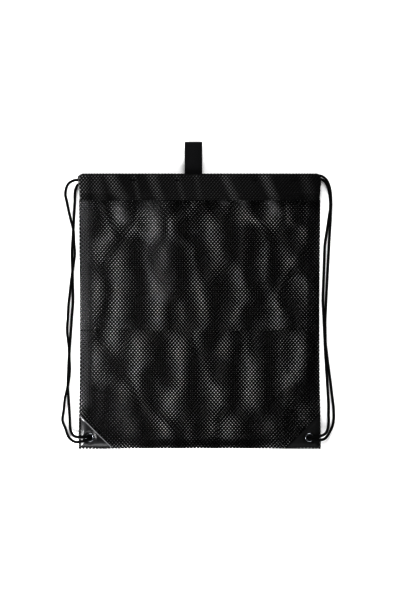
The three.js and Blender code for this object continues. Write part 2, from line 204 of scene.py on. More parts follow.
def dress(piece: Piece, material: Material, nodes: Sequence[str] = ()) -> Piece:
    """Gives a piece its finish, its body and the CAD nodes that it stands for.

    Args:
        piece: The piece.
        material: Its finish.
        nodes: The CAD nodes that it replaces.

    Returns:
        The same piece.
    """
    if not piece.data.materials:
        piece.data.materials.append(material)
    piece.data.materials[0] = material
    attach(piece, "root")
    if nodes:
        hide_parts(*nodes)
    LOG.info("%s: %d faces", piece.name, len(piece.data.polygons))
    return piece


# Finishes


@dataclass(frozen=True)
class Finish:
    """A finish made of one shader, with its constants on the shader's own sockets."""

    name: str
    colour: str
    roughness: float

    def shader(self, tree: Tree) -> Node:
        """Returns the tree's shader with colour and roughness set."""
        shader = tree.nodes["Principled BSDF"]
        shader.inputs["Base Color"].default_value = linear(self.colour)
        shader.inputs["Roughness"].default_value = self.roughness
        return shader

    def pattern(self, tree: Tree, shader: Node) -> None:
        """Adds what varies over the surface."""

    def make(self) -> Material:
        """Returns the finish as a new material."""
        material = bpy.data.materials.new(self.name)
        material.use_nodes = True
        self.pattern(material.node_tree, self.shader(material.node_tree))
        return material


def bumped(tree: Tree, shader: Node, height: Socket, depth_mm: float, strength: float) -> None:
    """Feeds a height into the shader's normal.

    Args:
        tree: The material's tree.
        shader: Its shader.
        height: A socket from 0 to 1.
        depth_mm: How deep 1 is.
        strength: Share of the bump that is used.
    """
    bump = add_node(
        tree,
        "ShaderNodeBump",
        sockets={"Height": height, "Distance": depth_mm * MM, "Strength": strength},
    )
    tree.links.new(bump.outputs["Normal"], shader.inputs["Normal"])


def two_tone(tree: Tree, shader: Node, share: Socket, dark: Union[str, Socket], light: str) -> Socket:
    """Lets the base colour run between two tones.

    Args:
        tree: The material's tree.
        shader: Its shader.
        share: A socket from 0 to 1.
        dark: The tone at 0, as hex or as the socket that gives it.
        light: The tone at 1, as hex.

    Returns:
        The socket with the tone.
    """
    low = linear(dark) if isinstance(dark, str) else dark
    mix = add_node(tree, "ShaderNodeMix", {"data_type": "RGBA"}, {"Factor": share, 6: low, 7: linear(light)})
    tree.links.new(mix.outputs[2], shader.inputs["Base Color"])
    return mix.outputs[2]


def uneven(tree: Tree, shader: Node, share: Socket, low: float, high: float) -> None:
    """Lets the roughness run between two values as a socket goes from 0 to 1."""
    rough = add_node(tree, RANGE, sockets={"Value": share, "To Min": low, "To Max": high})
    tree.links.new(rough.outputs["Result"], shader.inputs["Roughness"])


@dataclass(frozen=True)
class KnittedPolyester(Finish):
    """Black multifilament polyester, warp-knitted: satin yarn, with painted sheen where light would fall on
    it.
    """

    filament_mm: float = 0.45
    light: str = "#060607"
    # Colour of the painted sheen where light would fall on the yarn.
    painted_sheen_colour: str = "#98989a"
    crisp: float = 1.0
    gloss: float = 0.12
    deep_mm: float = 0.12
    bump: float = 0.7

    def pattern(self, tree: Tree, shader: Node) -> None:
        """Adds the yarn's filaments, a little coarser than real, and its stretches of painted sheen."""
        shader.inputs["Specular IOR Level"].default_value = self.gloss
        place = add_node(tree, PLACES)
        fuzz = add_node(
            tree,
            NOISE,
            sockets={"Vector": place.outputs["Object"], "Scale": 1 / (self.filament_mm * MM), "Detail": 2.0},
        )
        tone = two_tone(tree, shader, fuzz.outputs["Fac"], self.colour, self.light)
        # Painted sheen: the stored share lightens the base colour towards the sheen colour.
        painted_sheen = add_node(tree, STORED, {"attribute_name": "painted_sheen"})
        crisp = add_node(tree, MATHS, {"operation": "POWER"}, {0: painted_sheen.outputs["Fac"], 1: self.crisp})
        two_tone(tree, shader, crisp.outputs[0], tone, self.painted_sheen_colour)
        bumped(tree, shader, fuzz.outputs["Fac"], self.deep_mm, self.bump)


@dataclass(frozen=True)
class CoatedLeather(Finish):
    """Black coated split leather: glossy film with a pebbled grain, painted sheen on the film and a painted
    highlight on the roll of its long edge.
    """

    grain_mm: float = 1.1
    slow_per_m: float = 90.0
    slow_share: float = 3.0
    deep_mm: float = 0.16
    bump: float = 0.8
    smoother: float = 0.08
    rougher: float = 0.12
    coat: float = 0.35
    gloss: float = 0.5
    coat_roughness: float = 0.16
    # Where the stored share passes this value the colour runs on to the painted highlight; the two colours
    # below are the painted sheen on the film and the painted highlight on the roll.
    roll_highlight_from: float = 0.8
    film: str = "#0c0c0e"
    edge: str = "#0c0c0e"

    def pattern(self, tree: Tree, shader: Node) -> None:
        """Adds the stored gloss, which also paints sheen and a highlight into the base colour, grain cells
        and a slow unevenness of the pressed film.
        """
        shader.inputs["Coat Roughness"].default_value = self.coat_roughness
        shader.inputs["Specular IOR Level"].default_value = self.gloss
        # Painted sheen and highlight: the stored share sets the coat and lightens the base colour where
        # light would fall.
        gloss_and_painted_sheen = add_node(tree, STORED, {"attribute_name": "gloss_and_painted_sheen"})
        share = add_node(tree, RANGE, sockets={"Value": gloss_and_painted_sheen.outputs["Fac"], "To Max": self.coat})
        tree.links.new(share.outputs["Result"], shader.inputs["Coat Weight"])
        film = two_tone(tree, shader, gloss_and_painted_sheen.outputs["Fac"], self.colour, self.film)
        roll_highlight_share = add_node(tree, RANGE, sockets={"Value": gloss_and_painted_sheen.outputs["Fac"], "From Min": self.roll_highlight_from})
        two_tone(tree, shader, roll_highlight_share.outputs["Result"], film, self.edge)
        place = add_node(tree, PLACES)
        grain = add_node(
            tree,
            "ShaderNodeTexVoronoi",
            {"feature": "F1"},
            {"Vector": place.outputs["Object"], "Scale": 1 / (self.grain_mm * MM)},
        )
        slow = add_node(
            tree,
            NOISE,
            sockets={"Vector": place.outputs["Object"], "Scale": self.slow_per_m, "Detail": 3.0},
        )
        height = add_node(
            tree,
            MATHS,
            {"operation": "MULTIPLY_ADD"},
            {0: slow.outputs["Fac"], 1: self.slow_share, 2: grain.outputs["Distance"]},
        )
        bumped(tree, shader, height.outputs[0], self.deep_mm, self.bump)
        low, high = self.roughness - self.smoother, self.roughness + self.rougher
        uneven(tree, shader, slow.outputs["Fac"], low, high)


@dataclass(frozen=True)
class NickelPlate(Finish):
    """Nickel-plated brass, pressed and tumbled: bright metal with fine rub marks."""

    rubs_per_m: float = 1400.0
    deep_mm: float = 0.05
    bump: float = 0.5
    smoother: float = 0.08
    rougher: float = 0.14

    def pattern(self, tree: Tree, shader: Node) -> None:
        """Adds rub marks to the roughness and a faint unevenness of the pressing."""
        shader.inputs["Metallic"].default_value = 1.0
        place = add_node(tree, PLACES)
        rubs = add_node(
            tree,
            NOISE,
            sockets={"Vector": place.outputs["Object"], "Scale": self.rubs_per_m, "Detail": 4.0},
        )
        low, high = self.roughness - self.smoother, self.roughness + self.rougher
        uneven(tree, shader, rubs.outputs["Fac"], low, high)
        bumped(tree, shader, rubs.outputs["Fac"], self.deep_mm, self.bump)


@dataclass(frozen=True)
class WovenTape(Finish):
    """Black polypropylene webbing: matte, with ribs across it and warp ends along it."""

    rib_mm: float = 1.3
    end_mm: float = 1.5
    light: str = "#0c0c0e"
    gloss: float = 0.12
    deep_mm: float = 0.25
    bump: float = 0.9

    def pattern(self, tree: Tree, shader: Node) -> None:
        """Adds the weave on the tape's own map: first along, then across, in metres."""
        shader.inputs["Specular IOR Level"].default_value = self.gloss
        place = add_node(tree, PLACES)
        parts = add_node(tree, "ShaderNodeSeparateXYZ", sockets={0: place.outputs["UV"]})
        ribs = self.wave(tree, parts.outputs["X"], self.rib_mm)
        ends = self.wave(tree, parts.outputs["Y"], self.end_mm)
        weave = add_node(tree, MATHS, {"operation": "MULTIPLY"}, {0: ribs, 1: ends})
        share = add_node(tree, RANGE, sockets={"Value": weave.outputs[0], "From Min": -1.0})
        two_tone(tree, shader, share.outputs["Result"], self.colour, self.light)
        bumped(tree, shader, share.outputs["Result"], self.deep_mm, self.bump)

    @staticmethod
    def wave(tree: Tree, along: Socket, pitch_mm: float) -> Socket:
        """Returns a sine of one pitch along a coordinate in metres."""
        turn = add_node(tree, MATHS, {"operation": "MULTIPLY"}, {0: along, 1: 2 * math.pi / (pitch_mm * MM)})
        return add_node(tree, MATHS, {"operation": "SINE"}, {0: turn.outputs[0]}).outputs[0]


@dataclass(frozen=True)
class BraidedCord(Finish):
    """Black braided polyester cord: matte strands that cross round it in a diamond."""

    strands: float = 8.0
    lay_mm: float = 7.0
    light: str = "#0c0c0e"
    gloss: float = 0.15
    groove: float = -0.6
    deep_mm: float = 0.35
    bump: float = 0.9

    def pattern(self, tree: Tree, shader: Node) -> None:
        """Adds both spirals on the cord's own map: turns round it, then metres along it."""
        shader.inputs["Specular IOR Level"].default_value = self.gloss
        place = add_node(tree, PLACES)
        parts = add_node(tree, "ShaderNodeSeparateXYZ", sockets={0: place.outputs["UV"]})
        spirals = [self.spiral(tree, parts, hand) for hand in (-1.0, 1.0)]
        braid = add_node(tree, MATHS, {"operation": "MAXIMUM"}, {0: spirals[0], 1: spirals[1]})
        share = add_node(tree, RANGE, sockets={"Value": braid.outputs[0], "From Min": self.groove})
        two_tone(tree, shader, share.outputs["Result"], self.colour, self.light)
        bumped(tree, shader, share.outputs["Result"], self.deep_mm, self.bump)

    def spiral(self, tree: Tree, parts: Node, hand: float) -> Socket:
        """Returns the sine of one set of strands, wound to the given hand."""
        along = add_node(
            tree,
            MATHS,
            {"operation": "MULTIPLY"},
            {0: parts.outputs["Y"], 1: hand / (self.lay_mm * MM)},
        )
        turns = add_node(tree, MATHS, {"operation": "ADD"}, {0: parts.outputs["X"], 1: along.outputs[0]})
        angle = add_node(
            tree,
            MATHS,
            {"operation": "MULTIPLY"},
            {0: turns.outputs[0], 1: 2 * math.pi * self.strands / 2},
        )
        return add_node(tree, MATHS, {"operation": "SINE"}, {0: angle.outputs[0]}).outputs[0]


@dataclass(frozen=True)
class PaperFloor(Finish):
    """Matte white background paper."""

    pulp_per_m: float = 4.0
    light: str = "#fbfbfb"
    gloss: float = 0.1

    def pattern(self, tree: Tree, shader: Node) -> None:
        """Adds the faint cloudiness of paper pulp."""
        shader.inputs["Specular IOR Level"].default_value = self.gloss
        place = add_node(tree, PLACES)
        pulp = add_node(tree, NOISE, sockets={"Vector": place.outputs["Object"], "Scale": self.pulp_per_m})
        two_tone(tree, shader, pulp.outputs["Fac"], self.colour, self.light)


class Kit:
    """The finishes of this backpack, each made once."""

    def __init__(self) -> None:
        """Makes every material."""
        # The front netting's lighter tone, where stored, is painted sheen: light falling on the yarn,
        # painted into its colour.
        self.netting = KnittedPolyester("knitted_polyester", "#030304", roughness=0.36).make()
        self.lining = KnittedPolyester("knitted_polyester_back", "#030303", roughness=0.6).make()
        # The tunnel's painted sheen runs up to white.
        self.tunnel = KnittedPolyester(
            "knitted_polyester_tunnel", "#030304", roughness=0.36, painted_sheen_colour="#ffffff", crisp=3.0
        ).make()
        self.seam = KnittedPolyester("folded_polyester", "#0c0c0d", roughness=0.5, light="#1c1c1e").make()
        self.thread = KnittedPolyester(
            "sewing_thread", "#101012", roughness=0.4, filament_mm=0.25, light="#28282c"
        ).make()
        # One leather in two copies: a lit copy with painted sheen and a painted highlight for the left
        # patch, and a shaded, duller copy for the right patch.
        self.leather_lit = CoatedLeather(
            "coated_leather", "#050506", roughness=0.26, gloss=0.36, coat=1.0, film="#464648", edge="#7e7e80"
        ).make()
        self.leather_shaded = CoatedLeather(
            "coated_leather_shaded", "#0c0c0d", roughness=0.5, coat=0.0, gloss=0.3, film="#161617"
        ).make()
        self.nickel = NickelPlate("nickel_plate", "#8a8c90", roughness=0.14).make()
        self.tape = WovenTape("woven_tape", "#171718", roughness=0.8, light="#28282a").make()
        self.cord = BraidedCord("braided_cord", "#030303", roughness=0.75).make()
        self.paper = PaperFloor("background_paper", "#f6f6f6", roughness=0.9).make()


# The bag's shape


def eased(t: Array, span: Array, start: Array, leave: Array, end: Array, arrive: Array) -> Array:
    """Runs a cubic from one value and slope to the next.

    Args:
        t: Share of the way, from 0 to 1.
        span: Length of the way.
        start: Value at 0.
        leave: Slope at 0.
        end: Value at 1.
        arrive: Slope at 1.

    Returns:
        The values on the way.
    """
    return (
        (2 * t**3 - 3 * t**2 + 1) * start
        + (t**3 - 2 * t**2 + t) * span * leave
        + (3 * t**2 - 2 * t**3) * end
        + (t**3 - t**2) * span * arrive
    )


def through(rows: Sequence[tuple[float, float]], at: Array) -> Array:
    """Interpolates a table of (place, value) smoothly through every row."""
    place = np.array([row[0] for row in rows])
    value = np.array([row[1] for row in rows])
    last = len(rows) - 1
    index = np.clip(np.searchsorted(place[1:], at, side="left"), 0, last - 1)
    before = np.maximum(np.arange(last + 1) - 1, 0)
    after = np.minimum(np.arange(last + 1) + 1, last)
    slope = (value[after] - value[before]) / (place[after] - place[before])
    span = place[index + 1] - place[index]
    t = np.clip((at - place[index]) / span, 0, 1)
    return eased(t, span, value[index], slope[index], value[index + 1], slope[index + 1])


def smoothstep(share: Array) -> Array:
    """Eases a share from 0 to 1."""
    held = np.clip(share, 0, 1)
    return held * held * (3 - 2 * held)


@dataclass(frozen=True)
class Fold:
    """A crest of the front panel, in shares of half the width, the panel's height and the crown."""

    x0: float
    y0: float
    x1: float
    y1: float
    wide: float
    high: float


@dataclass(frozen=True)
class BagShape:
    """The cloth bag's sizes and heights, as the CAD has them."""

    width: float = 350.0
    height: float = 398.0
    cloth: float = 1.0
    gap: float = 0.3
    crown: float = 14.0
    side_pull: float = 1.4
    seam_cloth: float = 1.2
    side_seam: float = 17.5
    bottom_seam: float = 12.0
    casing_depth: float = 38.0
    casing_taper: float = 10.0
    end_inset: float = 1.0
    slot_cut: float = 6.0
    mouth_gap: float = 6.0
    cord: float = 3.5
    cord_room: float = 0.35
    leather: float = 1.0
    loop_reach: float = 46.0
    eyelet_inset: float = 16.5
    corner_lift_height: float = 11.06
    lift_reach: float = 80.0
    lift_flat: float = 9.0
    fade_side: float = 0.16
    fade_foot: float = 0.1
    fade_top: float = 0.08
    fullness: tuple[tuple[float, float], ...] = (
        (0.0, 0.0),
        (0.08, 0.36),
        (0.2, 0.72),
        (0.38, 0.95),
        (0.56, 1.0),
        (0.76, 0.95),
        (0.9, 0.89),
        (1.0, 0.857),
    )
    folds: tuple[Fold, ...] = (
        Fold(-0.23, 0.99, -0.17, 0.58, 0.085, 0.3),
        Fold(-0.07, 0.97, -0.03, 0.7, 0.07, -0.22),
        Fold(0.36, 1.0, 0.44, 0.82, 0.08, 0.24),
        Fold(0.64, 1.0, 0.78, 0.74, 0.09, 0.22),
        Fold(-0.62, 1.0, -0.7, 0.84, 0.09, 0.2),
        Fold(0.1, 0.86, 0.08, 0.62, 0.07, 0.22),
        Fold(-0.84, 0.47, 0.7, 0.47, 0.065, -0.16),
        Fold(-0.5, 0.42, -0.66, 0.17, 0.1, 0.2),
        Fold(-0.12, 0.41, -0.16, 0.18, 0.085, 0.22),
        Fold(0.22, 0.42, 0.12, 0.26, 0.08, 0.18),
        Fold(0.46, 0.38, 0.5, 0.14, 0.09, 0.24),
        Fold(0.85, 0.4, 0.7, 0.2, 0.08, 0.2),
        Fold(-0.33, 0.38, -0.4, 0.2, 0.07, -0.14),
    )

    @property
    def half(self) -> float:
        """Half the bag's width."""
        return self.width / 2

    @property
    def bottom(self) -> float:
        """The bottom edge."""
        return -(self.height + self.loop_reach) / 2

    @property
    def top(self) -> float:
        """The mouth's edge."""
        return self.bottom + self.height

    @property
    def stitch(self) -> float:
        """The seam under the drawcord tunnels."""
        return self.top - self.casing_depth

    @property
    def seam_inner(self) -> float:
        """Inner edge of the side seams' folded cloth."""
        return self.half - self.side_seam

    @property
    def hem_inner(self) -> float:
        """Inner edge of the bottom seam's folded cloth."""
        return self.bottom + self.bottom_seam

    @property
    def seam_mid(self) -> float:
        """Height of the front panel's middle where the seams hold it."""
        return self.cloth / 2 + self.cloth + 2 * self.gap + self.seam_cloth

    @property
    def casing_half_full(self) -> float:
        """Half the height of a full tunnel, cloth included."""
        return self.cord / 2 + self.cord_room + self.cloth

    @property
    def lane(self) -> float:
        """Height of the front tunnel's middle."""
        return 3 * self.casing_half_full + self.mouth_gap

    @property
    def eyelet(self) -> tuple[float, float]:
        """The right eyelet's place."""
        return (self.half - self.eyelet_inset, self.bottom + self.eyelet_inset)

    def pulled_in(self, x: Array, y: Array) -> Array:
        """Returns x with the sides drawn in between the corners."""
        share = np.clip((y - self.bottom) / (self.stitch - self.bottom), 0, 1)
        return x * (1 - (self.side_pull / self.half) * np.sin(math.pi * share))

    def corner_lift(self, x: Array, y: Array) -> Array:
        """Returns how far the knots hold the corners up."""
        away = np.hypot(np.abs(x) - self.eyelet[0], y - self.eyelet[1]) - self.lift_flat
        share = np.clip(away / self.lift_reach, 0, 1)
        return self.corner_lift_height * np.cos(share * math.pi / 2) ** 2

    def dome(self, x: Array) -> Array:
        """Returns 1 in the middle and 0 at the side seams."""
        return 1 - np.minimum(1, np.abs(x) / self.seam_inner) ** 3

    def fold_height(self, x: Array, y: Array) -> Array:
        """Returns the folds' part of the front panel's height."""
        height = self.stitch - self.bottom
        fade = (
            np.clip((self.seam_inner - np.abs(x)) / (self.seam_inner * self.fade_side), 0, 1)
            * np.clip((y - self.hem_inner) / (height * self.fade_foot), 0, 1)
            * np.clip((self.stitch - y) / (height * self.fade_top), 0, 1)
        )
        total = np.zeros_like(x)
        for fold in self.folds:
            start = np.array([fold.x0 * self.half, self.bottom + fold.y0 * height])
            along = np.array([fold.x1 * self.half, self.bottom + fold.y1 * height]) - start
            dx, dy = x - start[0], y - start[1]
            share = np.clip((dx * along[0] + dy * along[1]) / (along @ along), 0, 1)
            away = np.hypot(dx - share * along[0], dy - share * along[1])
            total = total + fold.high * np.exp(-((away / (fold.wide * self.half)) ** 2))
        return self.crown * total * fade

    def back_mid(self, x: Array, y: Array) -> Array:
        """Returns the height of the back panel's middle."""
        return self.cloth / 2 + self.corner_lift(x, y)

    def front_mid(self, x: Array, y: Array) -> Array:
        """Returns the height of the front panel's middle."""
        share = np.clip((y - self.hem_inner) / (self.stitch - self.hem_inner), 0, 1)
        rise = self.crown * through(self.fullness, share) * self.dome(x)
        return self.seam_mid + self.corner_lift(x, y) + rise + self.fold_height(x, y)

    def casing_half(self, y: Array) -> Array:
        """Returns half a tunnel's height, cloth included."""
        share = np.clip((y - self.stitch - self.gap) / self.casing_taper, 0, 1)
        foot = self.cloth + self.gap / 2
        return foot + (self.casing_half_full - foot) * share

    def front_casing_mid(self, x: Array, y: Array) -> Array:
        """Returns the height of the front tunnel's middle."""
        share = np.clip((y - self.stitch) / (self.casing_depth / 2), 0, 1)
        end = 3 * self.casing_half(y) + self.gap + (self.mouth_gap - self.gap) * share
        return end + (self.lane - end) * self.dome(x)

    def casing_end(self, y: Array) -> Array:
        """Returns how far out a tunnel's cloth reaches."""
        share = (y - self.stitch - self.casing_taper / 2) / self.casing_taper
        return self.half - self.end_inset - self.slot_cut * smoothstep(share)


# Netting


@dataclass(frozen=True)
class NetPattern:
    """A knitted net: staggered six-sided holes, with the yarn's height between them."""

    pitch: float
    row: float
    hole: float
    yarn: float
    shift_x: float = 0.0
    shift_y: float = 0.0
    rounding: float = 0.4

    @property
    def cloth(self) -> float:
        """The yarn's share of the net's area."""
        return 1 - FULL_HOLE * self.hole**2

    def outline(self) -> Array:
        """Returns the six corners of the cell that belongs to one hole."""
        half = self.pitch / 2
        low = (half**2 + self.row**2) / 2
        side = (low - half**2) / self.row
        tip = low / self.row
        return np.array([[half, side], [0, tip], [-half, side], [-half, -side], [0, -tip], [half, -side]])

    def cell(self) -> Piece:
        """Returns one cell: a ring of yarn round its hole, ridged above and flat below."""
        rim = self.outline()
        count = len(rim)
        inner = rim * self.hole
        reach = np.hypot(inner[:, 0], inner[:, 1]).mean()
        rounder = inner / np.hypot(inner[:, 0], inner[:, 1])[:, None] * reach
        inner = (1 - self.rounding) * inner + self.rounding * rounder
        layers = [(inner, 0.0), (rim, self.yarn), (rim, 0.0)]
        points = np.vstack([np.column_stack([flat, np.full(count, up)]) for flat, up in layers])
        faces = []
        for k in range(count):
            after = (k + 1) % count
            faces.append([after, k, count + k, count + after])
            faces.append([k, after, 2 * count + after, 2 * count + k])
        return mesh_piece("net_cell", points, faces)


@dataclass(frozen=True)
class Region:
    """A rectangle of a flat net."""

    x0: float
    x1: float
    y0: float
    y1: float


class NetTree:
    """Geometry Nodes that lay one net cell out in staggered rows."""

    def __init__(self) -> None:
        """Builds the tree."""
        tree = bpy.data.node_groups.new("staggered_net", "GeometryNodeTree")
        for name, kind in (
            ("Cell", "Geometry"),
            ("Across", "Int"),
            ("Down", "Int"),
            ("Pitch", "Float"),
            ("Row", "Float"),
            ("Corner", "Vector"),
            ("Yarn", "Material"),
        ):
            tree.interface.new_socket(name, in_out="INPUT", socket_type=f"NodeSocket{kind}")
        tree.interface.new_socket("Net", in_out="OUTPUT", socket_type="NodeSocketGeometry")
        given = add_node(tree, "NodeGroupInput").outputs
        known = {name: given[name] for name in ("Across", "Down", "Pitch", "Row")}
        known["index"] = add_node(tree, "GeometryNodeInputIndex").outputs[0]
        for name, operation, first, second in (
            ("count", "MULTIPLY", "Across", "Down"),
            ("column", "MODULO", "index", "Across"),
            ("share", "DIVIDE", "index", "Across"),
            ("row", "FLOOR", "share", 0.0),
            ("parity", "MODULO", "row", 2.0),
            ("odd", "MULTIPLY", "parity", 0.5),
            ("step", "ADD", "column", "odd"),
            ("x", "MULTIPLY", "step", "Pitch"),
            ("y", "MULTIPLY", "row", "Row"),
        ):
            terms = {0: known[first], 1: known.get(second, second)}
            known[name] = add_node(tree, MATHS, {"operation": operation}, terms).outputs[0]
        place = add_node(tree, "ShaderNodeCombineXYZ", sockets={"X": known["x"], "Y": known["y"]})
        moved = add_node(
            tree,
            "ShaderNodeVectorMath",
            {"operation": "ADD"},
            {0: place.outputs[0], 1: given["Corner"]},
        )
        spots = add_node(
            tree, "GeometryNodePoints", sockets={"Count": known["count"], "Position": moved.outputs[0]}
        )
        cells = add_node(tree, COPIED, sockets={"Points": spots.outputs[0], "Instance": given["Cell"]})
        real = add_node(tree, REALIZED, sockets={0: cells.outputs[0]})
        knit = add_node(
            tree,
            "GeometryNodeMergeByDistance",
            sockets={"Geometry": real.outputs[0], "Distance": CLOSE * MM},
        )
        yarn = add_node(tree, FINISHED, sockets={"Geometry": knit.outputs[0], "Material": given["Yarn"]})
        add_node(tree, "NodeGroupOutput", sockets={0: yarn.outputs[0]})
        self.tree = tree

    def flat(self, pattern: NetPattern, region: Region, material: Material) -> tuple[Array, Array]:
        """Lays a flat net over a region.

        Args:
            pattern: The net.
            region: The rectangle that it covers.
            material: Its finish.

        Returns:
            Its points in millimetres, and its four-cornered faces.
        """
        first_row = 2 * math.floor((region.y0 - pattern.shift_y) / pattern.row / 2) - 2
        first = math.floor((region.x0 - pattern.shift_x) / pattern.pitch) - 1
        rows = math.ceil((region.y1 - pattern.shift_y) / pattern.row) + 2 - first_row
        columns = math.ceil((region.x1 - pattern.shift_x) / pattern.pitch) + 1 - first
        corner = (
            (first * pattern.pitch + pattern.shift_x) * MM,
            (first_row * pattern.row + pattern.shift_y) * MM,
            0.0,
        )
        cell = pattern.cell()
        modifier = cell.modifiers.new("net", "NODES")
        modifier.node_group = self.tree
        for name, value in {
            "Across": columns,
            "Down": rows,
            "Pitch": pattern.pitch * MM,
            "Row": pattern.row * MM,
            "Corner": corner,
            "Yarn": material,
        }.items():
            set_input(modifier, name, value)
        plain_mesh(cell)
        mesh = cell.data
        points = np.empty(len(mesh.vertices) * 3, dtype=np.float32)
        mesh.vertices.foreach_get("co", points)
        corners = np.empty(len(mesh.loops), dtype=np.int32)
        mesh.loops.foreach_get("vertex_index", corners)
        bpy.data.objects.remove(cell)
        return points.reshape(-1, 3).astype(float) / MM, corners.reshape(-1, 4)


@dataclass(frozen=True)
class PaintedSheen:
    """A stretch of painted sheen where light would fall on the yarn, from its top to its foot, in
    millimetres.
    """

    top_x: float
    top_y: float
    foot_x: float
    foot_y: float
    wide: float
    share: float
    fade: float = 8.0

    def at(self, x: Array, y: Array) -> Array:
        """Returns the share of painted sheen at each place."""
        down = (self.top_y - y) / (self.top_y - self.foot_y)
        middle = self.top_x + (self.foot_x - self.top_x) * down
        beyond = np.maximum(np.maximum(-down, down - 1) * (self.top_y - self.foot_y), 0)
        return self.share * np.exp(-(((x - middle) / self.wide) ** 2) - (beyond / self.fade) ** 2)


class PaintedSheenOn(Enum):
    """Where in a net's cell the painted sheen shows, as the ridge's share of its height."""

    HOLE = 0.0
    RIDGE = 1.0


# Painted sheen on the front panel, where light from the left would fall: the left side strip, streaks on
# folds and a faint wash over the left part.
FRONT_PAINTED_SHEEN = (
    PaintedSheen(-170, 172, -170, -156, 12, 0.66),
    PaintedSheen(-119, 128, -112, 110, 11, 0.36),
    PaintedSheen(-70, 150, -56, -4, 17, 0.3),
    PaintedSheen(30, 150, 34, 138, 6, 0.3),
    PaintedSheen(52, 150, 58, 138, 8, 0.4),
    PaintedSheen(102, 138, 108, 124, 8, 0.4),
    PaintedSheen(-150, 176, -130, -220, 70, 0.08),
)

# Painted sheen on the front tunnel: a wash over all of it and streaks where light would fall on its gathers.
TUNNEL_PAINTED_SHEEN = (
    PaintedSheen(0, 176, 0, 140, 240, 0.6),
    PaintedSheen(-168, 176, -172, 140, 20, 0.84),
    PaintedSheen(-150, 176, -146, 140, 20, 0.78),
    PaintedSheen(-132, 176, -114, 140, 20, 0.86),
    PaintedSheen(-96, 176, -88, 140, 9, 0.74),
    PaintedSheen(-71, 176, -58, 140, 17, 0.82),
    PaintedSheen(-34, 176, -24, 140, 12, 0.74),
    PaintedSheen(-6, 176, 0, 140, 14, 0.7),
    PaintedSheen(34, 176, 50, 140, 16, 0.84),
    PaintedSheen(91, 176, 107, 140, 15, 0.86),
    PaintedSheen(150, 176, 160, 140, 16, 0.66),
)


class Weaver:
    """Cuts flat nets to size and lays them on the bag."""

    def __init__(self, shape: BagShape) -> None:
        """Keeps the bag's shape and makes the node tree once."""
        self.shape = shape
        self.net = NetTree()

    def sheet(
        self,
        name: str,
        pattern: NetPattern,
        region: Region,
        place: Place,
        material: Material,
        around_eyelets: bool = False,
        painted_sheens: Sequence[PaintedSheen] = (),
        painted_sheen_on: PaintedSheenOn = PaintedSheenOn.RIDGE,
        painted_sheen_to: float = math.inf,
    ) -> Piece:
        """Makes one piece of netting.

        Args:
            name: The piece's name.
            pattern: The net.
            region: The flat rectangle that it is cut to.
            place: Turns flat x, flat y and height over the cloth's middle into a place.
            material: Its finish.
            around_eyelets: Whether its yarn is spread round the eyelets' barrels.
            painted_sheens: Its stretches of painted sheen.
            painted_sheen_on: Where in its cells they show.
            painted_sheen_to: Flat y up to which they show.

        Returns:
            The piece.
        """
        points, quads = self.net.flat(pattern, region, material)
        points[:, 0] = np.clip(points[:, 0], region.x0, region.x1)
        points[:, 1] = np.clip(points[:, 1], region.y0, region.y1)
        edge = (
            (points[:, 0] <= region.x0 + HAIR)
            | (points[:, 0] >= region.x1 - HAIR)
            | (points[:, 1] <= region.y0 + HAIR)
            | (points[:, 1] >= region.y1 - HAIR)
        )
        points[edge, 2] = 0
        points, faces = self.weld(points, quads)
        if around_eyelets:
            points, faces = self.spread(points, faces)
        lifted = points[:, 2] - pattern.yarn / 2
        placed = place(points[:, 0], points[:, 1], lifted)
        piece = mesh_piece(name, placed, faces)
        # Painted sheen: a stored share that lightens the yarn where light would fall, on the ridges or at
        # the holes.
        if painted_sheens:
            share = np.max([painted_sheen.at(placed[:, 0], placed[:, 1]) for painted_sheen in painted_sheens], axis=0)
            share = share * np.abs(points[:, 2] / pattern.yarn - 1 + painted_sheen_on.value)
            point_values(piece, "painted_sheen", np.where(points[:, 1] < painted_sheen_to, share, 0.0))
        return piece

    @staticmethod
    def weld(points: Array, quads: Array) -> tuple[Array, list[list[int]]]:
        """Joins equal points and drops faces that have no area left."""
        keys = np.round(points * STEPS).astype(np.int64)
        _, first, same = np.unique(keys, axis=0, return_index=True, return_inverse=True)
        welded = points[first]
        numbers = same.reshape(-1)[quads]
        a, b, c, d = (welded[numbers[:, k]] for k in range(4))
        area = np.linalg.norm(np.cross(c - a, d - b), axis=1)
        faces = []
        for face in numbers[area > HAIR].tolist():
            kept = [v for k, v in enumerate(face) if v != face[k - 1]]
            if len(set(kept)) >= 3:
                faces.append(kept)
        used = np.unique(np.concatenate([np.array(face) for face in faces]))
        order = np.full(len(welded), -1)
        order[used] = np.arange(len(used))
        return welded[used], [[int(order[v]) for v in face] for face in faces]

    def spread(
        self,
        points: Array,
        faces: list[list[int]],
        barrel: float = 5.0,
        reach: float = 13.0,
        core: float = 0.35,
    ) -> tuple[Array, list[list[int]]]:
        """Pushes the yarn off the eyelets' barrels, as the punch does."""
        for side in (-1, 1):
            x, y = side * self.shape.eyelet[0], self.shape.eyelet[1]
            away = np.hypot(points[:, 0] - x, points[:, 1] - y)
            inside = away < core * barrel
            faces = [face for face in faces if not any(inside[v] for v in face)]
            near = (away < reach) & ~inside
            pushed = barrel + away[near] * (reach - barrel) / reach
            share = pushed / np.maximum(away[near], SMALL)
            points[near, 0] = x + (points[near, 0] - x) * share
            points[near, 1] = y + (points[near, 1] - y) * share
        return points, faces


class Meeting(Enum):
    """How the holes of both panels meet, as slips in pitches across and in double rows."""

    OPEN = ((0.0, 0.0), (0.5, 0.5))
    HALF = ((0.25, 0.12), (0.75, 0.62))
    SHUT = ((0.5, 0.0), (0.0, 0.5))


@dataclass(frozen=True)
class Meet:
    """A place where the holes of both panels meet in a known way."""

    x: float
    y: float
    kind: Meeting


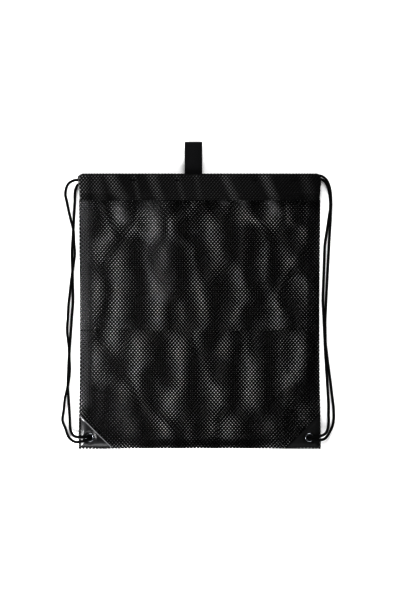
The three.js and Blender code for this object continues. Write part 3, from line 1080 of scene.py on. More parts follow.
# Each row is a height and the places across at which the holes meet
MEETS = {
    Meeting.OPEN: {
        150: (45, 98),
        128: (61,),
        115: (-119, 105),
        98: (-66, 16),
        75: (-149,),
        35: (-121,),
        5: (-149,),
        -18: (-121,),
        -28: (-60,),
        -38: (115,),
        -60: (-128,),
        -82: (-90, -30, 34, 147),
        -95: (-152,),
        -105: (141,),
        -108: (73,),
        -120: (73,),
        -136: (127,),
        -148: (73,),
        -152: (-112,),
        -158: (-45,),
        -198: (41, 102),
        -206: (-100,),
    },
    Meeting.HALF: {
        128: (26,),
        75: (142,),
        50: (161, -60, 14),
        35: (85,),
        5: (130, 48),
        -5: (146,),
        -28: (-5,),
        -35: (-35,),
        -70: (76,),
        -105: (27,),
        -120: (-38,),
        -158: (12,),
        -206: (-60, 10),
    },
    Meeting.SHUT: {
        150: (168,),
        130: (-28, 142, 85),
        98: (-143, -28),
        85: (78, 45),
        60: (-28, -95),
        25: (-25, -87, 110),
        -5: (88, 22),
        -40: (70,),
        -64: (14, 60, 100),
        -84: (-57,),
        -100: (102,),
        -115: (52, -10),
        -130: (-75,),
        -150: (50, 102, -13),
        -164: (-166,),
        -190: (73, 135),
    },
}


@dataclass
class Panels:
    """Both panels of netting and how the back one is drawn under the front one."""

    shape: BagShape
    weaver: Weaver
    kit: Kit
    camera_height: float = 2400.0
    front: NetPattern = NetPattern(4.73, 2.762, 0.575, 0.5)
    back: NetPattern = NetPattern(5.2, 2.85, 0.67, 0.6, 0.6, 0.4)
    crease: float = -50.6
    overlap: float = 0.8
    reach_x: float = 14.0
    reach_y: float = 20.0
    rest: float = 0.06
    across: float = 0.3
    held_side: float = 4.0
    held_foot: float = 6.0
    floor_gap: float = 0.05

    def phases(self, pattern: NetPattern, x: Array, y: Array) -> tuple[Array, Array]:
        """Returns where a place lies in a net, in pitches and in double rows."""
        return (x - pattern.shift_x) / pattern.pitch, (y - pattern.shift_y) / (2 * pattern.row)

    def pull(self, meet: Meet) -> tuple[float, float]:
        """Works out how far the back cloth is pulled at one meeting place."""
        x, y = np.array([meet.x]), np.array([meet.y])
        near = 1 + self.shape.front_mid(x, y) / self.camera_height
        drawn_in = self.shape.pulled_in(np.ones(1), y)
        over = self.phases(self.front, x / drawn_in / near, y / near)
        under = self.phases(self.back, x / drawn_in, y)
        pulls = []
        for shift in meet.kind.value:
            slip = [float(under[k][0] - over[k][0]) - shift[k] for k in range(2)]
            slip = [value - round(value) for value in slip]
            pulls.append((slip[0] * self.back.pitch, slip[1] * 2 * self.back.row))
        return min(pulls, key=lambda pull: math.hypot(*pull))

    def drawn(self, x: Array, y: Array) -> tuple[Array, Array]:
        """Returns the back cloth's places with all pulls blended."""
        weight = np.full_like(x, self.rest)
        dx, dy = np.zeros_like(x), np.zeros_like(x)
        meets = [
            Meet(across, up, kind)
            for kind, rows in MEETS.items()
            for up, places in rows.items()
            for across in places
        ]
        for meet in meets:
            pull = self.pull(meet)
            near = np.exp(-(((x - meet.x) / self.reach_x) ** 2) - ((y - meet.y) / self.reach_y) ** 2)
            beyond = (y - self.crease) * (meet.y - self.crease) < 0
            near = np.where(beyond, near * self.across, near)
            dx, dy, weight = dx + near * pull[0], dy + near * pull[1], weight + near
        free_x = np.clip((self.shape.half - np.abs(x)) / self.held_side, 0, 1)
        free_y = np.clip((y - self.shape.bottom) / self.held_foot, 0, 1)
        free_y = free_y * np.clip((self.shape.stitch - y) / self.held_side, 0, 1)
        return x + free_x * dx / weight, y + free_y * dy / weight

    def on_front(self, x: Array, y: Array, up: Array) -> Array:
        """Places a point of the front panel."""
        placed = self.shape.pulled_in(x, y)
        return np.column_stack([placed, y, self.shape.front_mid(placed, y) + up])

    def on_back(self, x: Array, y: Array, up: Array) -> Array:
        """Places a point of the back panel, yarn ridges facing down."""
        moved, along = self.drawn(x, y)
        placed = self.shape.pulled_in(moved, along)
        height = self.shape.back_mid(placed, along) + up
        return np.column_stack([placed, along, np.maximum(height, self.floor_gap)])

    def build(self) -> None:
        """Makes both panels, each in two pieces that meet at the crease."""
        s = self.shape
        low = Region(-s.half, s.half, s.bottom, self.crease)
        high = Region(-s.half, s.half, self.crease, s.stitch + self.overlap)
        for word, pattern, place, material, node in (
            ("front", self.front, self.on_front, self.kit.netting, "front_panel"),
            ("back", self.back, self.on_back, self.kit.lining, "back_panel"),
        ):
            for part, region in (("lower", low), ("upper", high)):
                piece = self.weaver.sheet(
                    f"{word}_net_{part}",
                    pattern,
                    region,
                    place,
                    material,
                    around_eyelets=part == "lower",
                    painted_sheens=FRONT_PAINTED_SHEEN if word == "front" else (),
                )
                dress(piece, material, [node])


@dataclass(frozen=True)
class Gather:
    """A crest that the drawcord draws into the front tunnel, from the mouth down to the seam."""

    top_x: float
    foot_x: float
    wide: float
    high: float


@dataclass
class Casings:
    """The drawcord tunnels: netting folded over at the mouth's edge."""

    shape: BagShape
    weaver: Weaver
    kit: Kit
    front: NetPattern
    back: NetPattern
    yarn: float = 0.4
    hole: float = 0.14
    back_hole: float = 0.6
    corner: float = 7.0
    corner_share: float = 0.8
    flare: float = 1.2
    flare_down: float = 11.5
    flare_wide: float = 8.0
    plain: float = 140.0
    # No painted sheen within this distance of the mouth's fold.
    sheen_stops_before_fold: float = 3.0
    tuck: float = 0.4
    fold_steps: int = 8
    gather_fade: float = 0.2
    gather_low: float = 0.4
    gathers: tuple[Gather, ...] = (
        Gather(-131, -120, 9, 1.6),
        Gather(-98, -92, 7, -1.2),
        Gather(-68, -70, 11, 1.7),
        Gather(-34, -28, 6, -1.2),
        Gather(-6, 4, 6, 1.0),
        Gather(46, 62, 7, 1.6),
        Gather(76, 88, 6, -1.2),
        Gather(98, 111, 7, 1.8),
        Gather(138, 132, 9, -1.2),
    )

    def ring(self) -> Array:
        """Returns the middle line of the folded cloth, foot to foot, as (y, up) pairs."""
        s = self.shape
        inset = s.cloth / 2
        round_at = s.top - s.casing_half_full
        flats = [s.stitch - self.tuck, s.stitch + s.casing_taper, round_at]
        upper = [[y, float(s.casing_half(np.array(y))) - inset] for y in flats]
        radius = s.casing_half_full - inset
        turns = [k / self.fold_steps * math.pi for k in range(1, self.fold_steps)]
        edge = [[round_at + radius * math.sin(t), radius * math.cos(t)] for t in turns]
        lower = [[y, -up] for y, up in reversed(upper)]
        return np.array(upper + edge + lower)

    def gathered(self, x: Array, y: Array, z: Array) -> Array:
        """Returns the gathers' height over the tunnel's upper cloth."""
        s = self.shape
        up = (y - s.stitch) / s.casing_depth
        total = np.zeros_like(x)
        for crest in self.gathers:
            middle = crest.foot_x + (crest.top_x - crest.foot_x) * up
            total = total + crest.high * np.exp(-(((x - middle) / crest.wide) ** 2))
        fade = smoothstep(up / self.gather_fade) * smoothstep((1 - up) / self.gather_fade)
        return total * fade * smoothstep(z / s.casing_half_full + self.gather_low)

    def end(self, y: Array, z: Array) -> Array:
        """Returns how far out the cloth reaches: its upper side covers the cord's way out."""
        s = self.shape
        full = s.casing_half_full
        upper = smoothstep((z + 0.5 * full) / full)
        high = np.clip((y - s.top + self.corner) / self.corner, 0, 1)
        rounded = self.corner * (1 - np.sqrt(1 - high**2)) * self.corner_share
        wide = s.half - s.end_inset - rounded
        wide = wide + self.flare * np.exp(-(((y - s.top + self.flare_down) / self.flare_wide) ** 2))
        return s.casing_end(y) * (1 - upper) + wide * upper

    def build(self) -> None:
        """Makes the front and the back tunnel."""
        s = self.shape
        line = self.ring()
        steps = np.hypot(*np.diff(line, axis=0).T)
        run = np.concatenate([[0.0], np.cumsum(steps)])
        length = float(run[-1])
        tangent = np.gradient(line, run, axis=0)
        normal = np.column_stack([-tangent[:, 1], tangent[:, 0]])
        normal /= np.hypot(normal[:, 0], normal[:, 1])[:, None]

        def laid(mid: Callable[[Array, Array], Array], gathered: float) -> Place:
            """Returns the placing of a flat point round one tunnel, with its share of gathers."""

            def place(x: Array, along: Array, up: Array) -> Array:
                """Places a point: along is measured round the tunnel."""
                y, z = np.interp(along, run, line[:, 0]), np.interp(along, run, line[:, 1])
                ny, nz = np.interp(along, run, normal[:, 0]), np.interp(along, run, normal[:, 1])
                beyond = np.clip((np.abs(x) - self.plain) / (s.half - self.plain), 0, 1)
                out = np.minimum(np.abs(x), self.plain) + beyond * (self.end(y, z) - self.plain)
                out = np.sign(x) * out
                crest = gathered * self.gathered(out, y, z)
                return np.column_stack([out, y + ny * up, mid(out, y) + z + nz * up + crest])

            return place

        fold = length / 2
        flat_back = laid(lambda x, y: np.broadcast_to(s.casing_half(y), x.shape), 0.0)
        region = Region(-s.half, s.half, 0.0, length)
        front = replace(self.front, hole=self.hole)
        back = replace(self.back, hole=self.back_hole)
        for name, pattern, place, node in (
            ("front_casing_net", front, laid(s.front_casing_mid, 1.0), "front_casing"),
            ("back_casing_net", back, flat_back, "back_casing"),
        ):
            pattern = replace(pattern, shift_y=fold % (2 * pattern.row), yarn=self.yarn)
            yarn = self.kit.tunnel
            # Only the front tunnel gets painted sheen.
            painted_sheens = TUNNEL_PAINTED_SHEEN if node == "front_casing" else ()
            piece = self.weaver.sheet(
                name, pattern, region, place, yarn, False, painted_sheens, PaintedSheenOn.HOLE, fold - self.sheen_stops_before_fold
            )
            dress(piece, yarn, [node])


@dataclass
class Seams:
    """The turned-in edges of both panels along the sides and the bottom."""

    shape: BagShape
    weaver: Weaver
    kit: Kit
    left: NetPattern = NetPattern(4.73, 2.762, 0.66, 0.6)
    right: NetPattern = NetPattern(4.73, 2.762, 0.8, 0.6)
    low: NetPattern = NetPattern(4.73, 2.762, 0.6, 0.6)

    def place(self, x: Array, y: Array, up: Array) -> Array:
        """Places a point of the strip between the panels."""
        s = self.shape
        placed = s.pulled_in(x, y)
        middle = s.back_mid(placed, y) + s.cloth / 2 + s.gap + s.seam_cloth / 2
        return np.column_stack([placed, y, middle + up])

    def build(self) -> None:
        """Makes the two side strips and the bottom strip."""
        s = self.shape
        inner = s.seam_inner - s.gap
        left = Region(-s.half, -s.seam_inner, s.bottom, s.stitch)
        right = Region(s.seam_inner, s.half, s.bottom, s.stitch)
        low = Region(-inner, inner, s.bottom, s.hem_inner)
        for name, pattern, region, node in (
            ("left_seam_fold", self.left, left, "side_seam_left"),
            ("right_seam_fold", self.right, right, "side_seam_right"),
            ("bottom_seam_fold", self.low, low, "bottom_seam"),
        ):
            piece = self.weaver.sheet(name, pattern, region, self.place, self.kit.seam, True)
            dress(piece, self.kit.seam, [node])


# Stitches


class StitchTree:
    """Geometry Nodes that lay lockstitches along a line."""

    def __init__(self) -> None:
        """Builds the tree."""
        tree = bpy.data.node_groups.new("lockstitch_row", "GeometryNodeTree")
        for name, kind in (
            ("Line", "Geometry"),
            ("Spacing", "Float"),
            ("Stitch", "Vector"),
            ("Thread", "Material"),
        ):
            tree.interface.new_socket(name, in_out="INPUT", socket_type=f"NodeSocket{kind}")
        tree.interface.new_socket("Stitches", in_out="OUTPUT", socket_type="NodeSocketGeometry")
        given = add_node(tree, "NodeGroupInput").outputs
        curve = add_node(tree, "GeometryNodeMeshToCurve", sockets={0: given["Line"]})
        even = add_node(
            tree,
            "GeometryNodeResampleCurve",
            {"mode": "LENGTH"},
            {"Curve": curve.outputs[0], "Length": given["Spacing"]},
        )
        along = add_node(tree, "GeometryNodeInputTangent")
        turn = add_node(
            tree,
            "FunctionNodeAlignRotationToVector",
            {"axis": "X"},
            {"Vector": along.outputs[0]},
        )
        bead = add_node(tree, "GeometryNodeMeshUVSphere", sockets={"Segments": 6, "Rings": 4, "Radius": 0.5})
        row = add_node(
            tree,
            COPIED,
            sockets={
                "Points": even.outputs[0],
                "Instance": bead.outputs[0],
                "Rotation": turn.outputs[0],
                "Scale": given["Stitch"],
            },
        )
        real = add_node(tree, REALIZED, sockets={0: row.outputs[0]})
        thread = add_node(tree, FINISHED, sockets={"Geometry": real.outputs[0], "Material": given["Thread"]})
        add_node(tree, "NodeGroupOutput", sockets={0: thread.outputs[0]})
        self.tree = tree

    def row(
        self, name: str, line: Array, spacing: float, stitch: Sequence[float], material: Material
    ) -> Piece:
        """Sews one row.

        Args:
            name: The piece's name.
            line: The row's places in millimetres.
            spacing: Distance from stitch to stitch.
            stitch: A stitch's length, width and height.
            material: The thread.

        Returns:
            The row as one mesh.
        """
        mesh = bpy.data.meshes.new(name)
        edges = [[k, k + 1] for k in range(len(line) - 1)]
        mesh.from_pydata((line * MM).tolist(), edges, [])
        piece = linked(name, mesh)
        modifier = piece.modifiers.new("stitches", "NODES")
        modifier.node_group = self.tree
        set_input(modifier, "Spacing", spacing * MM)
        set_input(modifier, "Stitch", [size * MM for size in stitch])
        set_input(modifier, "Thread", material)
        plain_mesh(piece)
        piece.data.polygons.foreach_set("use_smooth", [True] * len(piece.data.polygons))
        return piece


@dataclass
class Sewing:
    """The rows of stitches that show."""

    shape: BagShape
    panels: Panels
    kit: Kit
    spacing: float = 3.2
    stitch: tuple[float, float, float] = (2.6, 0.55, 0.5)
    side_at: float = 160.6
    hem_at: float = -211.8
    corner: float = 50.0
    end: float = 2.0
    top: float = 1.0
    tunnel_at: float = 0.8
    proud: float = 0.2
    places: int = 90

    def build(self) -> None:
        """Sews the tunnels' seam, both side rows and the bottom row."""
        s = self.shape
        tree = StitchTree()
        n = self.places
        across = np.linspace(-s.half + self.end, s.half - self.end, n)
        down = np.linspace(s.bottom + self.corner, s.stitch - self.top, n)
        hem = np.linspace(-s.half + self.corner, s.half - self.corner, n)
        lift = np.full(n, self.panels.front.yarn / 2 + self.proud)
        rows = {
            "tunnel_stitches": self.panels.on_front(across, np.full(n, s.stitch - self.tunnel_at), lift),
            "hem_stitches": self.panels.on_front(hem, np.full(n, self.hem_at), lift),
            "left_side_stitches": self.panels.on_front(np.full(n, -self.side_at), down, lift),
            "right_side_stitches": self.panels.on_front(np.full(n, self.side_at), down, lift),
        }
        for name, line in rows.items():
            piece = tree.row(name, line, self.spacing, self.stitch, self.kit.thread)
            dress(piece, self.kit.thread)


# Corner patches and eyelets


@dataclass
class Patch:
    """A leather triangle over one bottom corner, with its long edge turned under."""

    shape: BagShape
    side: int
    material: Material
    leg: float = 48.0
    inset: float = 1.8
    steps: int = 56
    roll: float = 3.0
    roll_height: float = 1.1
    puff: float = 1.5
    puff_from: float = 1.0
    puff_reach: float = 6.0
    # How the stored gloss and painted sheen lie on the patch: dull outer edges, a band of painted sheen
    # along them that fades inward and is weaker along the bottom, and a painted highlight on the roll.
    dull_edge: float = 1.4
    dull_fade: float = 1.5
    plain_gloss_and_sheen: float = 0.78
    bevel: float = 0.8
    bevel_foot: float = 0.02
    roll_middle: float = 1.3
    roll_highlight_spread: float = 0.45
    pressed: float = 6.5
    pressed_fade: float = 4.0
    bright_to: float = 7.0
    bright_fade: float = 4.0
    bright_drop: float = 0.6
    low_share: float = 0.6

    def build(self) -> Piece:
        """Makes the patch, with the eyelet's hole cut through."""
        s = self.shape
        n = self.steps
        edge_x, edge_y = s.half - self.inset, s.bottom + self.inset
        grid = [(i, j) for j in range(n + 1) for i in range(n + 1 - j)]
        number = {spot: k for k, spot in enumerate(grid)}
        a = np.array([spot[0] / n for spot in grid])
        b = np.array([spot[1] / n for spot in grid])
        x = self.side * (edge_x - a * self.leg)
        y = edge_y + b * self.leg
        from_long = (1 - a - b) * self.leg / math.sqrt(2)
        from_edge = np.minimum(np.minimum(a, b) * self.leg, from_long)
        foot = s.front_mid(x, y) + s.cloth / 2 + s.gap
        shoulder = np.sqrt(np.clip(from_edge / self.bevel, self.bevel_foot, 1))
        crest = self.roll_height * np.exp(-(((from_long - self.roll_middle) / (self.roll / 2)) ** 2))
        from_sides = np.minimum(a, b) * self.leg
        puffed = self.puff * smoothstep((from_sides - self.puff_from) / self.puff_reach)
        puffed = puffed * smoothstep(from_long / self.puff_reach)
        top = foot + s.leather * shoulder + crest + puffed * (1 - self.flattened(x, y))
        count = len(grid)
        points = np.vstack([np.column_stack([x, y, top]), np.column_stack([x, y, foot])])
        faces = []
        for j in range(n):
            for i in range(n - j):
                first, right, up = number[(i, j)], number[(i + 1, j)], number[(i, j + 1)]
                faces.append([first, right, up])
                if i + j < n - 1:
                    faces.append([right, number[(i + 1, j + 1)], up])
        low = [[v + count for v in reversed(face)] for face in faces]
        rim = (
            [number[(i, 0)] for i in range(n + 1)]
            + [number[(n - k, k)] for k in range(1, n + 1)]
            + [number[(0, j)] for j in range(n - 1, 0, -1)]
        )
        wall = [[v, rim[k - 1], rim[k - 1] + count, v + count] for k, v in enumerate(rim)]
        everything = faces + low + wall
        if self.side > 0:
            everything = [list(reversed(face)) for face in everything]
        word = side_word(self.side)
        piece = mesh_piece(f"{word}_corner_patch", points, everything)
        self.punch(piece)
        self.polish(piece)
        return dress(piece, self.material, [f"corner_patch_{word}"])

    def polish(self, piece: Piece) -> None:
        """Stores how glossy the film is and how much sheen is painted into its colour: dull and unpainted
        along both outer edges, glossiest with a painted highlight on the roll.
        """
        s = self.shape
        points = places_of(piece)
        in_x = s.half - self.inset - self.side * points[:, 0]
        in_y = points[:, 1] - s.bottom - self.inset
        from_long = (self.leg - in_x - in_y) / math.sqrt(2)
        inward = np.minimum(in_x, in_y)
        # Painted sheen on the film: strongest in a band just inside the outer edges, where light from the
        # left would fall, weaker inward and along the bottom.
        film = self.plain_gloss_and_sheen * smoothstep((inward - self.dull_edge) / self.dull_fade)
        film = film * (1 - self.bright_drop * smoothstep((inward - self.bright_to) / self.bright_fade))
        film = film * np.where(in_y < in_x, self.low_share, 1.0)
        # Painted highlight on the roll along the long edge.
        roll_highlight = np.exp(-(((from_long - self.roll_middle) / (self.roll_highlight_spread * self.roll)) ** 4))
        point_values(piece, "gloss_and_painted_sheen", np.maximum(film, roll_highlight))

    def flattened(self, x: Array, y: Array) -> Array:
        """Returns 1 where the eyelet presses the leather flat and 0 away from it."""
        away = np.hypot(np.abs(x) - self.shape.eyelet[0], y - self.shape.eyelet[1])
        return 1 - smoothstep((away - self.pressed) / self.pressed_fade)

    def punch(self, piece: Piece, radius: float = 5.0, n: int = 32, deep: float = 40.0) -> None:
        """Cuts the eyelet's hole with a prism of n sides."""
        s = self.shape
        turns = np.linspace(0, 2 * math.pi, n + 1)[:-1]
        ring = np.column_stack(
            [self.side * s.eyelet[0] + radius * np.cos(turns), s.eyelet[1] + radius * np.sin(turns)]
        )
        points = np.vstack([np.column_stack([ring, np.full(n, z)]) for z in (0.0, deep)])
        sides = [[k, (k + 1) % n, n + (k + 1) % n, n + k] for k in range(n)]
        caps = [list(range(n - 1, -1, -1)), list(range(n, 2 * n))]
        cutter = mesh_piece("punch", points, sides + caps)
        modifier = piece.modifiers.new("hole", "BOOLEAN")
        modifier.operation = "DIFFERENCE"
        modifier.object = cutter
        plain_mesh(piece)
        bpy.data.objects.remove(cutter)


@dataclass
class Eyelet:
    """A crimped metal eyelet through patch, netting and seam folds."""

    shape: BagShape
    side: int
    material: Material
    bore: float = 4.0
    wall: float = 0.5
    rim: float = 1.75
    thick: float = 0.9
    low: float = 9.86
    turns: int = 64
    bore_round: float = 0.3
    foot_round: float = 0.2
    lip_round: float = 0.1
    dome_foot: float = 0.25
    dome_high: float = 0.65
    dome_steps: int = 11

    def build(self) -> Piece:
        """Turns the eyelet's section round its bore."""
        s = self.shape
        barrel = self.bore + self.wall
        outer = barrel + self.rim
        seat = s.seam_mid + s.corner_lift_height + s.cloth / 2 + 2 * s.gap + s.leather
        lip, foot, top = self.lip_round, self.foot_round, self.low + self.thick
        dome = [
            [
                outer - (outer - self.bore) / 2 * (1 - math.cos(t)),
                seat + self.dome_foot + self.dome_high * math.sin(t),
            ]
            for t in np.linspace(0, math.pi, self.dome_steps)
        ]
        section = (
            [[self.bore, self.low + self.bore_round], [self.bore + self.bore_round, self.low]]
            + [[outer - foot, self.low], [outer, self.low + foot], [outer, top - lip]]
            + [[outer - lip, top], [barrel, top], [barrel, seat], [outer - lip, seat]]
            + dome
        )
        count = len(section)
        points, faces = [], []
        for k in range(self.turns):
            turn = 2 * math.pi * k / self.turns
            for r, z in section:
                points.append([r * math.cos(turn), r * math.sin(turn), z])
            after = (k + 1) % self.turns
            for m in range(count):
                follow = (m + 1) % count
                faces.append([k * count + m, after * count + m, after * count + follow, k * count + follow])
        placed = np.array(points) + np.array([self.side * s.eyelet[0], s.eyelet[1], 0])
        word = side_word(self.side)
        piece = mesh_piece(f"{word}_eyelet", placed, faces)
        return dress(piece, self.material, [f"eyelet_{word}"])


# Cords and knots


def run_of(line: Array, bend: float = 1.0) -> Array:
    """Returns how far along a line each of its points is, each step to the power of bend."""
    return np.concatenate([[0.0], np.cumsum(np.linalg.norm(np.diff(line, axis=0), axis=1) ** bend)])


def heading(line: Array) -> Array:
    """Returns the unit direction at each point of a line."""
    tangent = np.gradient(line, axis=0)
    return tangent / np.linalg.norm(tangent, axis=1)[:, None]


def even_line(rows: Array, step: float, longest: float = 24.0, parts_each: int = 24) -> Array:
    """Runs a smooth line through a route and spaces it evenly.

    Args:
        rows: The route's points.
        step: Distance between the line's points.
        longest: Straight stretches longer than this are first divided.
        parts_each: How finely each stretch is measured before it is spaced.

    Returns:
        The line's points.
    """
    knots = [rows[0]]
    for start, end in zip(rows[:-1], rows[1:]):
        parts = max(1, math.ceil(float(np.linalg.norm(end - start)) / longest))
        knots += [start + (end - start) * k / parts for k in range(1, parts + 1)]
    spots = np.array(knots)
    run = run_of(spots, 0.5)
    before = np.vstack([2 * spots[0] - spots[1], spots[:-1]])
    after = np.vstack([spots[1:], 2 * spots[-1] - spots[-2]])
    early = np.concatenate([[run[0] - (run[1] - run[0])], run[:-1]])
    late = np.concatenate([run[1:], [run[-1] + (run[-1] - run[-2])]])
    slope = (
        (spots - before) / (run - early)[:, None]
        - (after - before) / (late - early)[:, None]
        + (after - spots) / (late - run)[:, None]
    )
    fine = []
    for k in range(len(spots) - 1):
        span = run[k + 1] - run[k]
        t = np.linspace(0, 1, parts_each, endpoint=False)[:, None]
        fine.append(eased(t, span, spots[k], slope[k], spots[k + 1], slope[k + 1]))
    dense = np.vstack(fine + [spots[-1:]])
    lengths = run_of(dense)
    wanted = np.linspace(0, lengths[-1], max(2, round(lengths[-1] / step) + 1))
    return np.column_stack([np.interp(wanted, lengths, dense[:, k]) for k in range(3)])


def tube(
    name: str, line: Array, radius: float, sides: int, capped: float = 0.0, blunt: float = 0.12
) -> Piece:
    """Sweeps a round section along a line without twisting.

    Args:
        name: The piece's name.
        line: The line's points in millimetres.
        radius: The tube's radius.
        sides: Faces round it.
        capped: How far each end tapers to a rounded tip.
        blunt: How wide the tip stays, as a squared share of the radius.

    Returns:
        The tube, with turns round it and metres along it as its map.
    """
    tangent = heading(line)
    across = np.cross(tangent[0], [0.0, 0.0, 1.0])
    if np.linalg.norm(across) < UPRIGHT:
        across = np.cross(tangent[0], [1.0, 0.0, 0.0])
    across /= np.linalg.norm(across)
    run = run_of(line)
    to_end = np.minimum(run, run[-1] - run)
    points = []
    for k, spot in enumerate(line):
        across = across - tangent[k] * (across @ tangent[k])
        across /= np.linalg.norm(across)
        other = np.cross(tangent[k], across)
        share = 1.0
        if capped:
            share = math.sqrt(max(blunt, 1 - (1 - min(1.0, to_end[k] / capped)) ** 2))
        for m in range(sides):
            turn = 2 * math.pi * m / sides
            points.append(spot + radius * share * (math.cos(turn) * across + math.sin(turn) * other))
    faces, uv = [], []
    for k in range(len(line) - 1):
        for m in range(sides):
            after = (m + 1) % sides
            faces.append([k * sides + m, k * sides + after, (k + 1) * sides + after, (k + 1) * sides + m])
            low, high = run[k] * MM, run[k + 1] * MM
            uv += [[m / sides, low], [(m + 1) / sides, low], [(m + 1) / sides, high], [m / sides, high]]
    last = (len(line) - 1) * sides
    faces.append(list(range(sides - 1, -1, -1)))
    faces.append([last + m for m in range(sides)])
    uv += [[0.5, 0.0]] * sides + [[0.5, float(run[-1]) * MM]] * sides
    return mesh_piece(name, np.array(points), faces, np.array(uv))


@dataclass
class Drawcord:
    """One whole drawcord: eyelet, side, front tunnel, back tunnel, side and eyelet again."""

    word: str
    route: tuple[tuple[float, float, float], ...]
    material: Material
    width: float = 3.5
    sides: int = 14
    step: float = 1.3
    floor_gap: float = 0.1

    def build(self, knot: Piece) -> Piece:
        line = even_line(np.array(self.route), self.step)
        line[:, 2] = np.maximum(line[:, 2], self.width / 2 + self.floor_gap)
        piece = tube(f"{self.word}_drawcord", line, self.width / 2, self.sides)
        dress(piece, self.material, [f"drawcord_{self.word}"])
        return piece


@dataclass
class Knot:
    """An overhand knot of both cord ends behind an eyelet, with two short tails."""

    shape: BagShape
    side: int
    material: Material
    size: tuple[float, float, float] = (14.0, 12.0, 10.4)
    cord: float = 3.5
    floor_gap: float = 0.2
    tail: float = 13.0
    tail_steps: int = 14
    tail_tip: float = 1.2
    tail_turns: tuple[float, float] = (0.5, 1.1)
    sides: int = 14
    steps: int = 120
    right_turn: float = 1.54

    def build(self) -> Piece:
        """Ties the knot and joins its tails to it."""
        t = np.linspace(0, 2 * math.pi, self.steps + 1)[:-1]
        x, y = np.sin(t) + 2 * np.sin(2 * t), np.cos(t) - 2 * np.cos(2 * t)
        knot = np.column_stack([x, y, -np.sin(3 * t)])
        low, high = knot.min(axis=0), knot.max(axis=0)
        room = (np.array(self.size) - self.cord) / (high - low)
        knot = (knot - (low + high) / 2) * room
        parts = [tube("knot_turns", np.vstack([knot, knot[:1]]), self.cord / 2, self.sides)]
        for turn in self.tail_turns:
            out = np.array([math.sin(turn), math.cos(turn), 0.0])
            start = self.size[1] / 4
            reach = np.linspace(start, start + self.tail, self.tail_steps)[:, None] * out
            reach[:, 2] = -self.size[2] / 2 + self.cord / 2
            parts.append(tube("knot_tail", reach, self.cord / 2, self.sides, self.tail_tip))
        word = side_word(self.side)
        piece = self.joined(f"{word}_knot", parts)
        turn = self.right_turn if self.side > 0 else 0.0
        points = places_of(piece)
        x = points[:, 0] * math.cos(turn) - points[:, 1] * math.sin(turn)
        y = points[:, 0] * math.sin(turn) + points[:, 1] * math.cos(turn)
        s = self.shape
        placed = np.column_stack(
            [x + self.side * s.eyelet[0], y + s.eyelet[1], points[:, 2] + self.floor_gap + self.size[2] / 2]
        )
        piece.data.vertices.foreach_set("co", (placed * MM).ravel())
        piece.data.update()
        return dress(piece, self.material, [f"knot_{word}"])

    @staticmethod
    def joined(name: str, parts: Sequence[Piece]) -> Piece:
        """Joins parts into one named piece."""
        with bpy.context.temp_override(
            active_object=parts[0], selected_editable_objects=list(parts), object=parts[0]
        ):
            bpy.ops.object.join()
        parts[0].name = name
        parts[0].data.name = name
        return parts[0]


# Hanging loop


@dataclass
class HangingLoop:
    """A loop of flat webbing, its ends sewn to the back tunnel inside the mouth."""

    shape: BagShape
    material: Material
    thick: float = 1.2
    width: float = 25.0
    opening: float = 7.0
    sewn: float = 18.0
    offset: float = -9.0
    selvedge: float = 0.35
    step: float = 0.9
    line: tuple[tuple[float, float], ...] = (
        (0.22, -0.16),
        (0.55, -0.56),
        (0.84, -0.64),
        (0.96, -0.36),
        (1.0, 0.02),
        (0.96, 0.4),
        (0.84, 0.62),
        (0.55, 0.6),
        (0.22, 0.3),
    )

    def build(self) -> Piece:
        """Sweeps the tape's section, with rounded selvedges, along the loop."""
        s = self.shape
        low = 2 * s.casing_half_full + s.gap + self.thick / 2
        high = low + self.thick + s.gap
        middle = (low + high) / 2
        reach = s.loop_reach - self.thick / 2
        legs = [s.top - self.sewn, s.top - self.sewn / 2, s.top]
        spread = self.opening + self.thick
        route = (
            [[0.0, y, low] for y in legs]
            + [[0.0, s.top + out * reach, middle + up * spread] for out, up in self.line]
            + [[0.0, y, high] for y in reversed(legs)]
        )
        line = even_line(np.array(route), self.step)
        half, thin = self.width / 2, self.selvedge
        section = [[-half + thin, 1.0], [half - thin, 1.0], [half, thin], [half, -thin]]
        section += [[half - thin, -1.0], [-half + thin, -1.0], [-half, -thin], [-half, thin]]
        tangent = heading(line)
        normal = np.column_stack([np.zeros(len(line)), -tangent[:, 2], tangent[:, 1]])
        run = run_of(line)
        count = len(section)
        points, faces, uv = [], [], []
        for k, spot in enumerate(line):
            for across, up in section:
                points.append(
                    spot + np.array([self.offset + across, 0, 0]) + normal[k] * up * self.thick / 2
                )
        for k in range(len(line) - 1):
            for m in range(count):
                after = (m + 1) % count
                near_side, far_side = k * count, (k + 1) * count
                faces.append([near_side + m, far_side + m, far_side + after, near_side + after])
                near, far = section[m][0] * MM, section[after][0] * MM
                low_run, high_run = run[k] * MM, run[k + 1] * MM
                uv += [[low_run, near], [high_run, near], [high_run, far], [low_run, far]]
        last = (len(line) - 1) * count
        faces.append(list(range(count)))
        faces.append([last + m for m in range(count - 1, -1, -1)])
        uv += [[0.0, section[m][0] * MM] for m in range(count)]
        uv += [[run[-1] * MM, section[m][0] * MM] for m in range(count - 1, -1, -1)]
        piece = mesh_piece("webbing_loop", np.array(points), faces, np.array(uv))
        dress(piece, self.material, ["hanging_loop"])
        return piece


# Studio


@dataclass(frozen=True)
class Lamp:
    """A square soft light that faces the bag: its place and side in metres, its power in watts."""

    name: str
    place: tuple[float, float, float]
    size: float
    power: float

    def build(self) -> None:
        """Adds the light."""
        data = bpy.data.lights.new(self.name, "AREA")
        data.size = self.size
        data.energy = self.power
        light = linked(self.name, data)
        light.location = self.place
        aim = -np.array(self.place) / np.linalg.norm(self.place)
        flat = math.hypot(aim[0], aim[1])
        light.rotation_euler = (math.atan2(flat, -aim[2]), 0.0, math.atan2(-aim[0], aim[1]))


